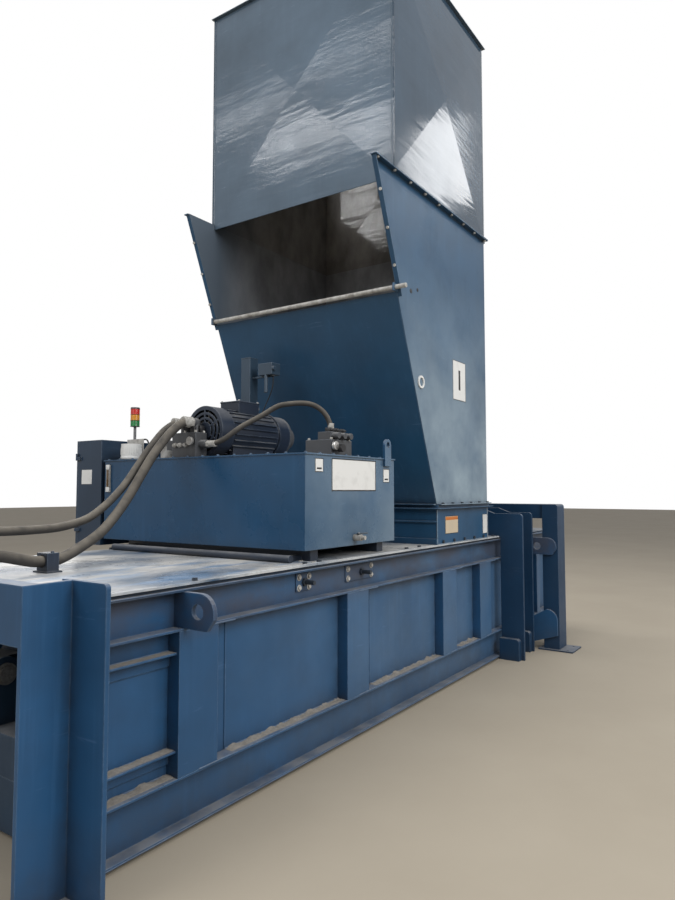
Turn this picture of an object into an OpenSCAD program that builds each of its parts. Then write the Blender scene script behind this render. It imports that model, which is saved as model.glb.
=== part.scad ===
// Horizontal recycling baler. Millimetres, +Z up, +X from the cylinder end towards the bale exit.
// The origin lies on the floor, at the middle of the machine's length, on its centre line.
// A station is a distance along X from the rear face of the machine.

/* [Frame] */
// Length of the machine from its rear face to the bale exit
machine_l = 6950; // [6800:50:7600]
// Width over the outer edges of the side rails
frame_w = 1960; // [1900:10:2100]
// Height of the deck's top face above the floor
deck_z = 1200; // [1150:10:1300]
// Thickness of the deck's cover plates
deck_t = 12; // [8:1:16]
// Thickness of the roof plates under the deck
roof_t = 16; // [12:1:20]
// Distance that each deck plate stays inside the rails' outer edge
deck_inset = 12; // [4:1:16]
// Thickness of the chamber's side walls
wall_t = 20; // [12:1:25]
// Depth of the rails' flanges, from their web's back to their edge
rail_d = 80; // [70:2:90]
// Thickness of the rails' webs and flanges
rail_t = 12; // [8:1:14]
// Height of the top rails
top_rail_h = 200; // [180:5:220]
// Height of the bottom rails
bottom_rail_h = 254; // [230:2:270]
// Gap between the bottom rails and the floor
floor_gap = 25; // [15:1:40]
// Thickness of the chamber's floor plate
floor_t = 25; // [16:1:30]

/* [Rear end] */
// Station of the rear posts' cross flange
rear_flange_s = 220; // [180:5:260]
// Thickness of the rear posts' plates
rear_post_t = 22; // [16:1:28]
// Reach of the rear posts' cross flange beyond the rails
rear_flange_out = 215; // [150:5:240]
// Reach of the rear foot plates beyond the cross flange
rear_foot_out = 80; // [60:5:120]
// Height of the rear posts
rear_post_h = 1282; // [1260:2:1400]
// Corner radius on the rear posts' cross flange
rear_corner_r = 22; // [8:1:40]
// Height of the rear beam's web
rear_beam_h = 240; // [180:5:300]
// Depth of the rear beam along X
rear_beam_d = 80; // [50:5:110]

/* [Side posts] */
// Width of each side post along X
side_post_w = 265; // [230:5:300]
// Station of the first side post's middle
side_post_s1 = 939; // [900:5:980]
// Station of the second side post's middle
side_post_s2 = 2410; // [2350:5:2470]
// Station of the third side post's middle
side_post_s3 = 3860; // [3800:5:3920]
// Station of the fourth side post's middle
side_post_s4 = 4655; // [4600:5:4700]
// Wall of the side posts
side_post_t = 10; // [6:1:14]
// Height of the upper stiffening angle in the rear bay
ledge_z1 = 860; // [820:5:900]
// Height of the lower stiffening angle in the rear bay
ledge_z2 = 395; // [360:5:450]
// Leg of the stiffening angles
ledge_leg = 62; // [45:1:70]
// Thickness of the stiffening angles
ledge_t = 10; // [6:1:12]

/* [Lifting lugs] */
// Thickness of the lifting lugs
lug_t = 25; // [16:1:30]
// Radius of the lifting lugs' holes
lug_hole_r = 38; // [25:1:42]
// Reach of the rear lugs beyond the rails
lug_out = 203; // [170:1:215]
// Station of the rear lugs' middle
lug_s = 842; // [830:1:850]
// Distance from the rear lugs' hole to the rails' outer edge
lug_hole_out = 95; // [80:1:110]

/* [Bale chamber frames] */
// Station of the rear tie frame's middle
tie_s1 = 5062; // [5040:2:5100]
// Station of the front tie frame's middle
tie_s2 = 5492; // [5460:2:5520]
// Thickness of the tie frames
tie_t = 25; // [16:1:35]
// Height of the tie frames at their outer corners
tie_h = 1425; // [1380:5:1500]
// Extra height of the tie frames over the chamber
tie_rise = 45; // [20:5:80]
// Reach of the rear tie frame beyond the rails
tie_out1 = 230; // [180:5:260]
// Reach of the front tie frame beyond the rails
tie_out2 = 180; // [150:5:220]
// Height of the box feet on the tie frames
tie_foot_h = 205; // [150:5:240]
// Depth of the box feet on the tie frames
tie_foot_d = 62; // [40:2:80]
// Station of the exit frame's rear face
exit_s = 5650; // [5630:5:5700]
// Depth of the exit frame along X
exit_d = 240; // [180:5:280]
// Gap between the exit frame's posts and the rails
exit_gap = 233; // [200:1:260]
// Width of the exit frame's posts
exit_post_w = 163; // [120:1:190]
// Clearance between the deck and the exit frame's top beam
exit_rise = 160; // [140:5:250]
// Height of the exit frame's top beam
exit_beam_h = 150; // [120:5:170]
// Wall of the exit frame's box sections
exit_wall = 10; // [6:1:16]

/* [Feet] */
// Width of the anchor plates beyond the posts
foot_out = 140; // [110:5:180]
// Length of the anchor plates along X
foot_l = 320; // [280:5:380]
// Thickness of the anchor plates
foot_t = 14; // [10:1:20]
// Radius of the anchor holes
anchor_r = 11; // [9:0.5:14]
// Distance from the anchor holes to the anchor plates' outer edge
anchor_edge = 65; // [45:5:75]

/* [Tension flap] */
// Length of the tension flap
flap_l = 930; // [860:10:1000]
// Radius of the flap's hinge pin
flap_pin_r = 22; // [16:1:26]
// Radial clearance of the flap's hinge pin
flap_pin_fit = 0.06; // [0.03:0.01:0.1]
// Distance of the tension cylinders from the middle plane
tension_y = 480; // [400:10:560]
// Radius of the tension cylinders
tension_r = 62; // [50:1:75]
// Radius of the tension rods
tension_rod_r = 30; // [24:1:34]
// Radial clearance of the tension rods
tension_fit = 0.08; // [0.03:0.01:0.1]

/* [Ram] */
// Length of the ram
ram_l = 1600; // [1500:10:1700]
// Stroke of the ram
ram_stroke = 1430; // [1350:10:1450]
// Gap between the ram and the chamber's walls and roof
ram_gap = 8; // [5:1:12]
// Thickness of the ram's front plate
platen_t = 50; // [35:5:60]
// Thickness of the ram's skins
ram_skin = 16; // [10:1:20]
// Thickness of the wear shoes under the ram
shoe_t = 12; // [8:1:16]
// Running gap between the wear shoes and the floor
shoe_gap = 0.3; // [0.2:0.1:0.6]
// Gap between the ram's blade and the shear blade
blade_gap = 1; // [0.5:0.1:2]
// Width of the shear blades along X
blade_w = 50; // [40:2:70]
// Thickness of the shear blades
blade_t = 26; // [20:1:27]

/* [Main cylinder] */
// Height of the cylinder's axis above the floor
cyl_z = 730; // [700:5:760]
// Outer radius of the cylinder's barrel
barrel_r = 120; // [105:1:135]
// Inner radius of the cylinder's barrel
bore_r = 100; // [85:1:104]
// Radius of the piston rod
rod_r = 65; // [50:1:75]
// Radial clearance of the piston and of the rod
cyl_fit = 0.08; // [0.03:0.01:0.1]
// Station of the cylinder's rear pin
base_pin_s = 425; // [400:5:450]
// Radius of the cylinder's pins
pin_r = 40; // [30:1:46]
// Radial clearance of the cylinder's pins
pin_fit = 0.06; // [0.03:0.01:0.1]

/* [Hopper] */
// Station of the feed opening's rear edge
feed_s = 3665; // [3640:5:3690]
// Length of the feed opening over its plates
feed_l = 1100; // [1050:5:1120]
// Distance from the hopper's side plates to the rails' outer edge
hopper_inset = 20; // [12:1:30]
// Height of the collar's top flange
collar_z = 1508; // [1480:2:1540]
// Gap band between the collar and the hopper's flange
collar_band = 25; // [15:1:40]
// Thickness of the hopper's and the hood's plates
hopper_t = 6; // [4:1:8]
// Height of the flange between hopper and hood
hood_z = 4130; // [4050:10:4250]
// Reach of the hopper's front tip ahead of the feed opening
tip_reach = 1031; // [950:5:1100]
// Height of the window bar
bar_z = 3215; // [3100:5:3300]
// Radius of the window bar
bar_r = 18; // [14:1:22]
// Width of the hopper's flanges
flange_w = 45; // [35:1:60]
// Thickness of the hopper's flanges
flange_t = 8; // [5:1:10]

/* [Hood] */
// Reach of the hood's front panel ahead of the feed opening
hood_reach = 715; // [650:5:780]
// Height of the hood's top
hood_top = 6120; // [5800:10:6300]
// Drop of the front panel below the hood's flange
hood_drop = 48; // [30:2:80]
// Height of the cross breaks in the hood's panels
break_rise = 24; // [12:1:36]
// Width of the conveyor inlet
inlet_w = 1150; // [900:10:1300]
// Height of the conveyor inlet
inlet_h = 1000; // [800:10:1200]
// Distance from the conveyor inlet's upper edge to the hood's top
inlet_drop = 210; // [100:10:300]
// Reach of the hood's conveyor flanges
inlet_reach = 100; // [60:5:120]

/* [Power unit] */
// Station of the oil tank's rear face
tank_s = 1900; // [1880:5:1960]
// Length of the oil tank along X
tank_l = 1127; // [1000:1:1180]
// Width of the oil tank across the machine
tank_w = 1995; // [1900:5:2050]
// Distance from the oil tank's left face to the rails' outer edge
tank_inset = 70; // [50:5:90]
// Height of the skids under the oil tank
skid_h = 75; // [60:1:90]
// Height of the oil tank
tank_h = 620; // [560:5:660]
// Radius of the drive motor
motor_r = 185; // [165:1:200]
// Length of the drive motor's frame
motor_l = 560; // [500:10:600]
// Distance of the motor's axis from the middle plane
motor_y = 135; // [115:5:150]
// Radius of the motor's shaft
shaft_r = 28; // [20:1:34]
// Radial clearance of the motor's shaft
shaft_fit = 0.08; // [0.03:0.01:0.1]

/* [Hoses] */
// Diameter of the hose to the cylinder's base end
hose_d1 = 62; // [54:1:64]
// Diameter of the hose to the cylinder's rod end
hose_d2 = 50; // [42:1:52]
// Diameter of the hose from the main valve to the valve stack
hose_d3 = 38; // [36:1:42]

/* [Control cabinet] */
// Length of the cabinet along X
cabinet_l = 760; // [650:10:820]
// Depth of the cabinet across the machine
cabinet_d = 320; // [280:5:360]
// Height of the cabinet's underside
cabinet_z = 1222; // [1212:1:1260]
// Height of the cabinet
cabinet_h = 838; // [760:2:900]
// Sheet thickness of the cabinet
cabinet_t = 3; // [2:0.5:4]
// Gap between the cabinet and the oil tank
cabinet_gap = 35; // [25:1:45]

/* [Sensor post] */
// Side of the sensor post
sensor_w = 100; // [80:2:110]
// Height of the sensor post
sensor_h = 905; // [860:5:950]

/* [Hidden] */
$fn = 48;
// Overlap that joins two solids of one piece
join = 0.01;
// Gap at which two pieces of one assembly count as seated
seat = 0.3;

blue = "steelblue";
dark_blue = "midnightblue";
steel = "silver";

origin_s = machine_l / 2;
rail_y = frame_w / 2;
web_y = rail_y - rail_d;
wall_y = web_y - wall_t;
roof_top_z = deck_z - deck_t;
roof_z = roof_top_z - roof_t;
top_rail_z = roof_z - top_rail_h;
bottom_rail_top = floor_gap + bottom_rail_h;
floor_z = bottom_rail_top;
front_s = machine_l;
shell_s = rear_flange_s + rear_post_t;
deck_y = rail_y - deck_inset;
roof_y = deck_y - 18;

// Puts its children at a station measured from the machine's rear face.
module at(s, y = 0, z = 0) {
  translate([s - origin_s, y, z]) children();
}

// Box between two stations, two widths and two heights.
module block(s0, s1, y0, y1, z0, z1) {
  at(s0, y0, z0) cube([s1 - s0, y1 - y0, z1 - z0]);
}

// The children and their mirror image across the middle plane.
module both_sides() {
  children();
  mirror([0, 1, 0]) children();
}

// Round bar along X from a station.
module bar_x(s, y, z, r, l) {
  at(s, y, z) rotate([0, 90, 0]) cylinder(r = r, h = l);
}

// Round bar along Y, centred on y.
module bar_y(s, y, z, r, l) {
  at(s, y, z) rotate([90, 0, 0]) cylinder(r = r, h = l, center = true);
}

// Round bar upwards from a height.
module bar_z(s, y, z, r, l) {
  at(s, y, z) cylinder(r = r, h = l);
}

// Plate across X with its outline given as points of Y and Z.
module cross_plate(s, t, points) {
  at(s) rotate([90, 0, 90]) linear_extrude(t) polygon(points);
}

// Plate along X with its outline given as points of X and Z, from y to y + t.
module long_plate(y, t, points) {
  at(0, y + t) rotate([90, 0, 0]) linear_extrude(t) polygon(points);
}

// Points of an arc about a centre.
function arc(cx, cy, r, a0, a1, n = 6) =
  [for (i = [0:n]) let (a = a0 + (a1 - a0) * i / n) [cx + r * cos(a), cy + r * sin(a)]];

rear_web_y = rail_y - 30;
rear_out = rail_y + rear_flange_out;
rear_foot_y = rear_out + rear_foot_out;
rear_anchor_y = rear_foot_y - anchor_edge / 2;
rear_anchor_s = [60, rear_flange_s - 50];

// Rear frame: two angle-shaped posts on foot plates, with a channel beam between their tops.
module rear_frame() {
  beam_z = rear_post_h - rear_beam_h;
  color(blue) {
    both_sides() difference() {
      union() {
        block(0, rear_flange_s, rear_web_y, rear_web_y + rear_post_t, foot_t, rear_post_h);
        cross_plate(rear_flange_s, rear_post_t, concat([[web_y, foot_t], [rear_out, foot_t]],
          arc(rear_out - rear_corner_r, rear_post_h - rear_corner_r, rear_corner_r, 0, 90),
          [[web_y, rear_post_h]]));
        block(0, shell_s, web_y, rear_foot_y, 0, foot_t);
      }
      for (s = rear_anchor_s) bar_z(s, rear_anchor_y, -1, anchor_r, foot_t + 2);
    }
    difference() {
      block(0, rear_beam_d, -rear_web_y, rear_web_y, beam_z, rear_post_h);
      block(rail_t, rear_beam_d + 1, -rear_web_y - 1, rear_web_y + 1, beam_z + rail_t,
        rear_post_h - rail_t);
    }
  }
}

clevis_in = 92;
clevis_t = 40;
clevis_out = clevis_in + clevis_t;
clevis_r = 85;
eye_r = 78;
eye_half = clevis_in - 4;
beam_half = 75;
beam_h = 200;

// Cross beam that takes the cylinder's thrust, with the clevis that holds its rear pin.
module cylinder_beam() {
  s0 = base_pin_s - beam_half;
  s1 = base_pin_s + beam_half;
  top = floor_z + beam_h;
  color(blue) difference() {
    union() {
      block(s0, s1, -wall_y, wall_y, floor_z, top);
      both_sides() {
        block(base_pin_s - clevis_r, base_pin_s + clevis_r, clevis_in, clevis_out, top - 40, cyl_z);
        bar_y(base_pin_s, clevis_in + clevis_t / 2, cyl_z, clevis_r, clevis_t);
      }
    }
    block(s0 + rail_t, s1 - rail_t, -wall_y + rail_t, wall_y - rail_t, floor_z + rail_t,
      top - 3 * rail_t);
    bar_y(base_pin_s, 0, cyl_z, pin_r + pin_fit, 2 * clevis_out + 2);
  }
}

// Side walls of the ram box and the bale chamber.
module side_walls() {
  color(blue) both_sides() block(shell_s, front_s, wall_y, web_y, floor_gap, roof_z);
}

// Channel with its web against the side wall and its flanges outwards.
module channel(s0, s1, z, h) {
  difference() {
    block(s0, s1, web_y, rail_y, z, z + h);
    block(s0 - 1, s1 + 1, web_y + rail_t, rail_y + 1, z + rail_t, z + h - rail_t);
  }
}

// Top rails: one channel a side along the whole roof.
module top_rails() {
  color(blue) both_sides() channel(shell_s, front_s, top_rail_z, top_rail_h);
}

// Bottom rails: one channel a side along the whole floor.
module bottom_rails() {
  color(blue) both_sides() channel(shell_s, front_s, floor_gap, bottom_rail_h);
}

side_posts = [side_post_s1, side_post_s2, side_post_s3, side_post_s4];
exit_stiff_s = [exit_s + 560, front_s - 110];
exit_stiff_w = 90;

// Side stiffeners: the channel posts between the rails, and the two angles in the rear bay.
module side_stiffeners() {
  half = side_post_w / 2;
  color(blue) both_sides() {
    for (s = side_posts) difference() {
      block(s - half, s + half, web_y, rail_y, bottom_rail_top, top_rail_z);
      block(s - half + side_post_t, s + half - side_post_t, web_y - 1, rail_y - side_post_t,
        bottom_rail_top - 1, top_rail_z + 1);
    }
    for (s = exit_stiff_s)
      block(s - exit_stiff_w / 2, s + exit_stiff_w / 2, web_y, rail_y, bottom_rail_top, top_rail_z);
    for (z = [ledge_z1, ledge_z2]) {
      block(shell_s, side_post_s1 - half, web_y, web_y + ledge_leg, z, z + ledge_t);
      block(shell_s, side_post_s1 - half, web_y, web_y + ledge_t, z - ledge_leg, z + ledge_t);
    }
  }
}

floor_s = base_pin_s + beam_half + 240;

// Floor of the ram box and the bale chamber.
module floor_plate() {
  color("dimgray") block(floor_s, front_s, -wall_y, wall_y, floor_z - floor_t, floor_z);
}

cross_pitch = 850;
cross_w = 120;
cross_count = floor((front_s - floor_s - cross_w) / cross_pitch) + 1;

// Cross members under the floor, and the one that carries the cylinder's beam.
module cross_members() {
  color(blue) {
    for (i = [0:cross_count - 1])
      block(floor_s + i * cross_pitch, floor_s + i * cross_pitch + cross_w, -wall_y, wall_y,
        floor_gap, floor_z - floor_t);
    block(base_pin_s - beam_half, base_pin_s + beam_half, -wall_y, wall_y, floor_gap, floor_z);
  }
}

flap_knuckle_r = flap_pin_r + 20;
flap_s0 = tie_s1 + tie_t / 2 + 60;
flap_s1 = flap_s0 + flap_l;
flap_side_gap = 6;
flap_end_gap = 6;
flap_half = wall_y - flap_side_gap;
flap_rib_h = 56;
pad_z = roof_top_z + flap_rib_h;
flap_pin_z = roof_top_z + flap_knuckle_r + 6;
hinge_s0 = flap_s0 - flap_knuckle_r - flap_end_gap;
cut_s0 = feed_s + hopper_t + 2;
blade_s = feed_s + feed_l - hopper_t - 2;
cut_s1 = blade_s + blade_w;

// Roof plates: one around the feed opening, one over the exit, and a strip beside the flap.
module roof_plates() {
  color(blue) {
    difference() {
      block(shell_s, hinge_s0, -roof_y, roof_y, roof_z, roof_top_z);
      block(cut_s0, cut_s1, -wall_y, wall_y, roof_z - 1, roof_top_z + 1);
    }
    block(flap_s1 + flap_end_gap, front_s, -roof_y, roof_y, roof_z, roof_top_z);
    both_sides() block(hinge_s0, flap_s1 + flap_end_gap, wall_y, roof_y, roof_z, roof_top_z);
  }
}

deck_joint_s = tank_s + 50;
deck_joint_gap = 4;

// Deck plates: two cover plates over the ram box, the front one cut out for the feed opening.
module deck_plates() {
  half_gap = deck_joint_gap / 2;
  color("lightsteelblue") {
    block(shell_s, deck_joint_s - half_gap, -deck_y, deck_y, roof_top_z, deck_z);
    difference() {
      block(deck_joint_s + half_gap, tie_s1 - tie_t / 2, -deck_y, deck_y, roof_top_z, deck_z);
      block(cut_s0, cut_s1, -wall_y, wall_y, roof_top_z - 1, deck_z + 1);
    }
  }
}

tie_corner_r = 36;

// Outline of half a tie frame: it stands on the floor, outside the rails and over the roof.
function tie_half(out, inner_top) = concat(
  [[rail_y, 0], [rail_y + out, 0]],
  arc(rail_y + out - tie_corner_r, tie_h - tie_corner_r, tie_corner_r, 0, 90),
  [[rail_y - 60, tie_h], [rail_y - 180, tie_h + tie_rise], [0, tie_h + tie_rise], [0, inner_top],
   [rail_y, inner_top]]);

tie_foot_r = 32;
tie_foot_in1 = 32;
tie_foot_in2 = 20;

// Box foot on the rear side of a tie frame, with its top outer corner rounded.
module tie_foot(s, out) {
  cross_plate(s - tie_t / 2 - tie_foot_d, tie_foot_d, concat([[rail_y, 0], [rail_y + out, 0]],
    arc(rail_y + out - tie_foot_r, tie_foot_h - tie_foot_r, tie_foot_r, 0, 90),
    [[rail_y, tie_foot_h]]));
}

// Tie frames: two portal plates around the bale chamber, each with two box feet.
module tie_frames() {
  color(blue) both_sides() {
    cross_plate(tie_s1 - tie_t / 2, tie_t, tie_half(tie_out1, roof_top_z));
    cross_plate(tie_s2 - tie_t / 2, tie_t, tie_half(tie_out2, pad_z + 34));
    tie_foot(tie_s1, tie_out1 - tie_foot_in1);
    tie_foot(tie_s2, tie_out2 - tie_foot_in2);
  }
}

exit_mid_s = exit_s + exit_d / 2;
exit_post_y = rail_y + exit_gap;
exit_out_y = exit_post_y + exit_post_w;
exit_foot_y = exit_out_y + foot_out;
exit_anchor_y = exit_foot_y - anchor_edge;
exit_anchor_s = [exit_mid_s - 110, exit_mid_s + 110];
exit_corner_r = 30;
exit_beam_z = deck_z + exit_rise;
exit_h = exit_beam_z + exit_beam_h;
exit_beam_in = 20;

// Exit frame: two box posts, a box beam between their tops and an anchor plate under each.
module exit_frame() {
  s0 = exit_s + exit_beam_in;
  s1 = exit_s + exit_d - exit_beam_in;
  color(blue) {
    both_sides() {
      difference() {
        cross_plate(exit_s, exit_d, concat([[exit_post_y, foot_t], [exit_out_y, foot_t]],
          arc(exit_out_y - exit_corner_r, exit_h - exit_corner_r, exit_corner_r, 0, 90),
          [[exit_post_y, exit_h]]));
        block(exit_s + exit_wall, exit_s + exit_d - exit_wall, exit_post_y + exit_wall,
          exit_out_y - exit_wall, foot_t + exit_wall, exit_beam_z);
      }
      difference() {
        block(exit_mid_s - foot_l / 2, exit_mid_s + foot_l / 2, exit_post_y - 50, exit_foot_y, 0, foot_t);
        for (s = exit_anchor_s) bar_z(s, exit_anchor_y, -1, anchor_r, foot_t + 2);
      }
    }
    difference() {
      block(s0, s1, -exit_post_y - exit_wall, exit_post_y + exit_wall, exit_beam_z, exit_h);
      block(s0 + exit_wall, s1 - exit_wall, -exit_post_y, exit_post_y,
        exit_beam_z + exit_wall, exit_h - exit_wall);
      for (y = [-tension_y, tension_y])
        bar_z(exit_mid_s, y, exit_beam_z - 1, tension_r + seat, exit_beam_h + 2);
    }
  }
}

knuckle_w = 240;
knuckle_y = [-560, 0, 560];

// Tension flap: a hinged part of the chamber's roof, with its ribs and its hinge knuckles.
module tension_flap() {
  color(blue) difference() {
    union() {
      block(flap_s0, flap_s1, -flap_half, flap_half, roof_z, roof_top_z);
      for (y = [-tension_y, 0, tension_y])
        block(flap_s0 + 130, flap_s1 - 60, y - 45, y + 45, roof_top_z - join, pad_z);
      for (y = knuckle_y) {
        bar_y(flap_s0, y, flap_pin_z, flap_knuckle_r, knuckle_w);
        block(flap_s0, flap_s0 + flap_knuckle_r + 30, y - knuckle_w / 2, y + knuckle_w / 2,
          roof_top_z - join, flap_pin_z);
      }
    }
    bar_y(flap_s0, 0, flap_pin_z, flap_pin_r + flap_pin_fit, 2 * rail_y);
  }
}

hinge_block_y = wall_y + 4;

// Hinge of the flap: its pin, welded into a block on each side strip of the roof.
module flap_hinge() {
  color(blue) both_sides()
    block(flap_s0 - flap_knuckle_r, flap_s0 + flap_knuckle_r, hinge_block_y, roof_y, roof_top_z,
      flap_pin_z + flap_knuckle_r);
  color(steel) bar_y(flap_s0, 0, flap_pin_z, flap_pin_r, 2 * roof_y);
}

tension_low = exit_beam_z - 60;
tension_cap_h = 46;
rod_top = exit_h - 36;

// Tension cylinders: two barrels through the exit frame's beam, each with a collar on it.
module tension_cylinders() {
  color(dark_blue) both_sides() difference() {
    union() {
      bar_z(exit_mid_s, tension_y, tension_low, tension_r, exit_h + tension_cap_h - tension_low);
      bar_z(exit_mid_s, tension_y, exit_h, tension_r + 22, 22);
      bar_x(exit_mid_s, tension_y, exit_h + tension_cap_h - 22, 14, tension_r + 34);
    }
    bar_z(exit_mid_s, tension_y, tension_low - 1, tension_rod_r + tension_fit,
      rod_top + 10 - tension_low);
  }
}

// Tension rods: one in each tension cylinder, with a domed tip that presses on the flap.
module tension_rods() {
  tip_z = pad_z + seat + tension_rod_r;
  color(steel) both_sides() {
    bar_z(exit_mid_s, tension_y, tip_z, tension_rod_r, rod_top - tip_z);
    at(exit_mid_s, tension_y, tip_z) sphere(r = tension_rod_r);
  }
}

lug_round = 92;
lug_z0 = top_rail_z + rail_t;
lug_z1 = roof_z - rail_t;
lug_mid_z = (lug_z0 + lug_z1) / 2;
lug_hole_y = rail_y + lug_hole_out;
exit_lug_out = exit_gap + exit_post_w - 14;
exit_lug_y = exit_post_y - lug_hole_r - 12;

// Outline of a lifting lug: square at the rail, round at its outer top corner.
function lug_outline(out) = concat(
  [[web_y + rail_t, lug_z0], [rail_y + out - 44, lug_z0], [rail_y + out, lug_z0 + 60]],
  arc(rail_y + out - lug_round, lug_z1 - lug_round, lug_round, 0, 90),
  [[web_y + rail_t, lug_z1]]);

// Lifting lugs in the top rails, at the rear and at the exit frame, and the exit's lower arms.
module lifting_lugs() {
  arm_r = 110;
  arm_out = exit_out_y - 14;
  color(blue) both_sides() {
    difference() {
      cross_plate(lug_s - lug_t / 2, lug_t, lug_outline(lug_out));
      bar_x(lug_s - lug_t, lug_hole_y, lug_mid_z, lug_hole_r, 2 * lug_t);
    }
    difference() {
      cross_plate(exit_s - lug_t, lug_t, lug_outline(exit_lug_out));
      bar_x(exit_s - 2 * lug_t, exit_lug_y, lug_mid_z, lug_hole_r, 3 * lug_t);
    }
    cross_plate(exit_s - lug_t, lug_t, concat(
      [[web_y + rail_t, floor_gap + rail_t], [rail_y + 20, floor_gap + rail_t],
       [arm_out, floor_gap + 130]],
      arc(arm_out - arm_r, bottom_rail_top + 30, arm_r, 0, 90),
      [[rail_y + 10, bottom_rail_top - rail_t], [web_y + rail_t, bottom_rail_top - rail_t]]));
  }
}

shear_z = roof_z + blade_gap;

// Fixed shear blade at the front edge of the feed opening.
module shear_blade() {
  color(steel) block(blade_s, cut_s1, -wall_y, wall_y, shear_z, shear_z + blade_t);
}

ram_s1 = feed_s - 10;
ram_s0 = ram_s1 - ram_l;
ram_y = wall_y - ram_gap;
ram_z0 = floor_z + shoe_gap + shoe_t;
ram_z1 = roof_z - ram_gap;
barrel_s0 = base_pin_s + eye_r + 32;
cap_l = 60;
gland_l = 110;
piston_l = 110;
end_gap = 10;
barrel_l = ram_stroke + cap_l + gland_l + piston_l + 2 * end_gap;
barrel_s1 = barrel_s0 + barrel_l;
rod_eye_s = barrel_s1 + eye_r + 60;
bulkhead_s = rod_eye_s + clevis_r + 15;
bulkhead_t = 40;
face_groove = 30;
face_pitch = 180;
face_grooves = 4;

// Ram: a grooved front plate, skins that slide in the chamber, a bulkhead and a rod clevis.
module ram_body() {
  color("slategray") difference() {
    union() {
      difference() {
        block(ram_s0, ram_s1, -ram_y, ram_y, ram_z0, ram_z1);
        block(ram_s0 - 1, ram_s1 - platen_t, -ram_y + ram_skin, ram_y - ram_skin,
          ram_z0 + ram_skin, ram_z1 - ram_skin);
      }
      block(bulkhead_s, bulkhead_s + bulkhead_t, -ram_y + ram_skin - 1, ram_y - ram_skin + 1,
        ram_z0 + ram_skin - 1, ram_z1 - ram_skin + 1);
      both_sides() {
        block(rod_eye_s, bulkhead_s + 1, clevis_in, clevis_out, cyl_z - clevis_r, cyl_z + clevis_r);
        bar_y(rod_eye_s, clevis_in + clevis_t / 2, cyl_z, clevis_r, clevis_t);
      }
    }
    bar_y(rod_eye_s, 0, cyl_z, pin_r + pin_fit, 2 * clevis_out + 2);
    block(ram_s1 - blade_w, ram_s1 + 1, -ram_y - 1, ram_y + 1, ram_z1 - blade_t, ram_z1 + 1);
    for (i = [0:face_grooves - 1]) {
      z = ram_z0 + 140 + i * face_pitch;
      block(ram_s1 - 20, ram_s1 + 1, -ram_y - 1, ram_y + 1, z, z + face_groove);
    }
  }
}

// Blade in the ram's top front edge.
module ram_blade() {
  color(steel) block(ram_s1 - blade_w, ram_s1, -ram_y, ram_y, ram_z1 - blade_t, roof_z - blade_gap);
}

shoe_l = 300;
shoe_w = 160;

// Wear shoes under the ram's four corners.
module ram_shoes() {
  color("peru")
  for (y = [-ram_y + 10, ram_y - 10 - shoe_w], s = [ram_s0 + 60, ram_s1 - 60 - shoe_l])
    block(s, s + shoe_l, y, y + shoe_w, floor_z + shoe_gap, ram_z0);
}

port_top = cyl_z + barrel_r + 30;
pipe_r = 20;
pipe_z = port_top + 50;
base_port_s = barrel_s0 + 30;
rod_port_s = barrel_s1 - gland_l / 2;
base_port_y = -36;
rod_port_y = 50;
boss_half = 30;

// Cylinder barrel with its rear eye, its gland and the bosses of its two ports.
module cylinder_barrel() {
  ring_r = barrel_r + 12;
  color(dark_blue) difference() {
    union() {
      bar_x(barrel_s0, 0, cyl_z, barrel_r, barrel_l);
      bar_x(barrel_s0, 0, cyl_z, ring_r, cap_l);
      bar_x(barrel_s1 - gland_l, 0, cyl_z, ring_r, gland_l);
      bar_y(base_pin_s, 0, cyl_z, eye_r, 2 * eye_half);
      block(base_pin_s, barrel_s0 + 1, -eye_half, eye_half, cyl_z - eye_r, cyl_z + eye_r);
      block(base_port_s - boss_half, base_port_s + boss_half, base_port_y - boss_half,
        base_port_y + boss_half, cyl_z + bore_r + 6, port_top);
      block(rod_port_s - boss_half, rod_port_s + boss_half, rod_port_y - boss_half,
        rod_port_y + boss_half, cyl_z + bore_r + 6, port_top);
    }
    bar_x(barrel_s0 + cap_l, 0, cyl_z, bore_r, barrel_l - cap_l - gland_l);
    bar_x(barrel_s1 - gland_l - 1, 0, cyl_z, rod_r + cyl_fit, gland_l + 2);
    bar_y(base_pin_s, 0, cyl_z, pin_r + pin_fit, 2 * eye_half + 2);
  }
}

// Pin through a clevis, with a collar against each outer face.
module clevis_pin(s) {
  bar_y(s, 0, cyl_z, pin_r, 2 * clevis_out + 40);
  both_sides() bar_y(s, clevis_out + 7 + seat, cyl_z, pin_r + 14, 14);
}

module base_pin() {
  color(steel) clevis_pin(base_pin_s);
}

module rod_pin() {
  color(steel) clevis_pin(rod_eye_s);
}

// Piston rod with its piston at the rear and its eye in the ram's clevis.
module piston_rod() {
  piston_s = barrel_s0 + cap_l + end_gap;
  color(steel) difference() {
    union() {
      bar_x(piston_s, 0, cyl_z, bore_r - cyl_fit, piston_l);
      bar_x(piston_s, 0, cyl_z, rod_r, rod_eye_s - piston_s);
      bar_y(rod_eye_s, 0, cyl_z, eye_r, 2 * eye_half);
    }
    bar_y(rod_eye_s, 0, cyl_z, pin_r + pin_fit, 2 * eye_half + 2);
  }
}

hose_end_s = 262;
elbow_s = 170;
hose_end_z1 = 1322;
hose_end_z2 = 1436;
elbow_r = 30;

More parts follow.
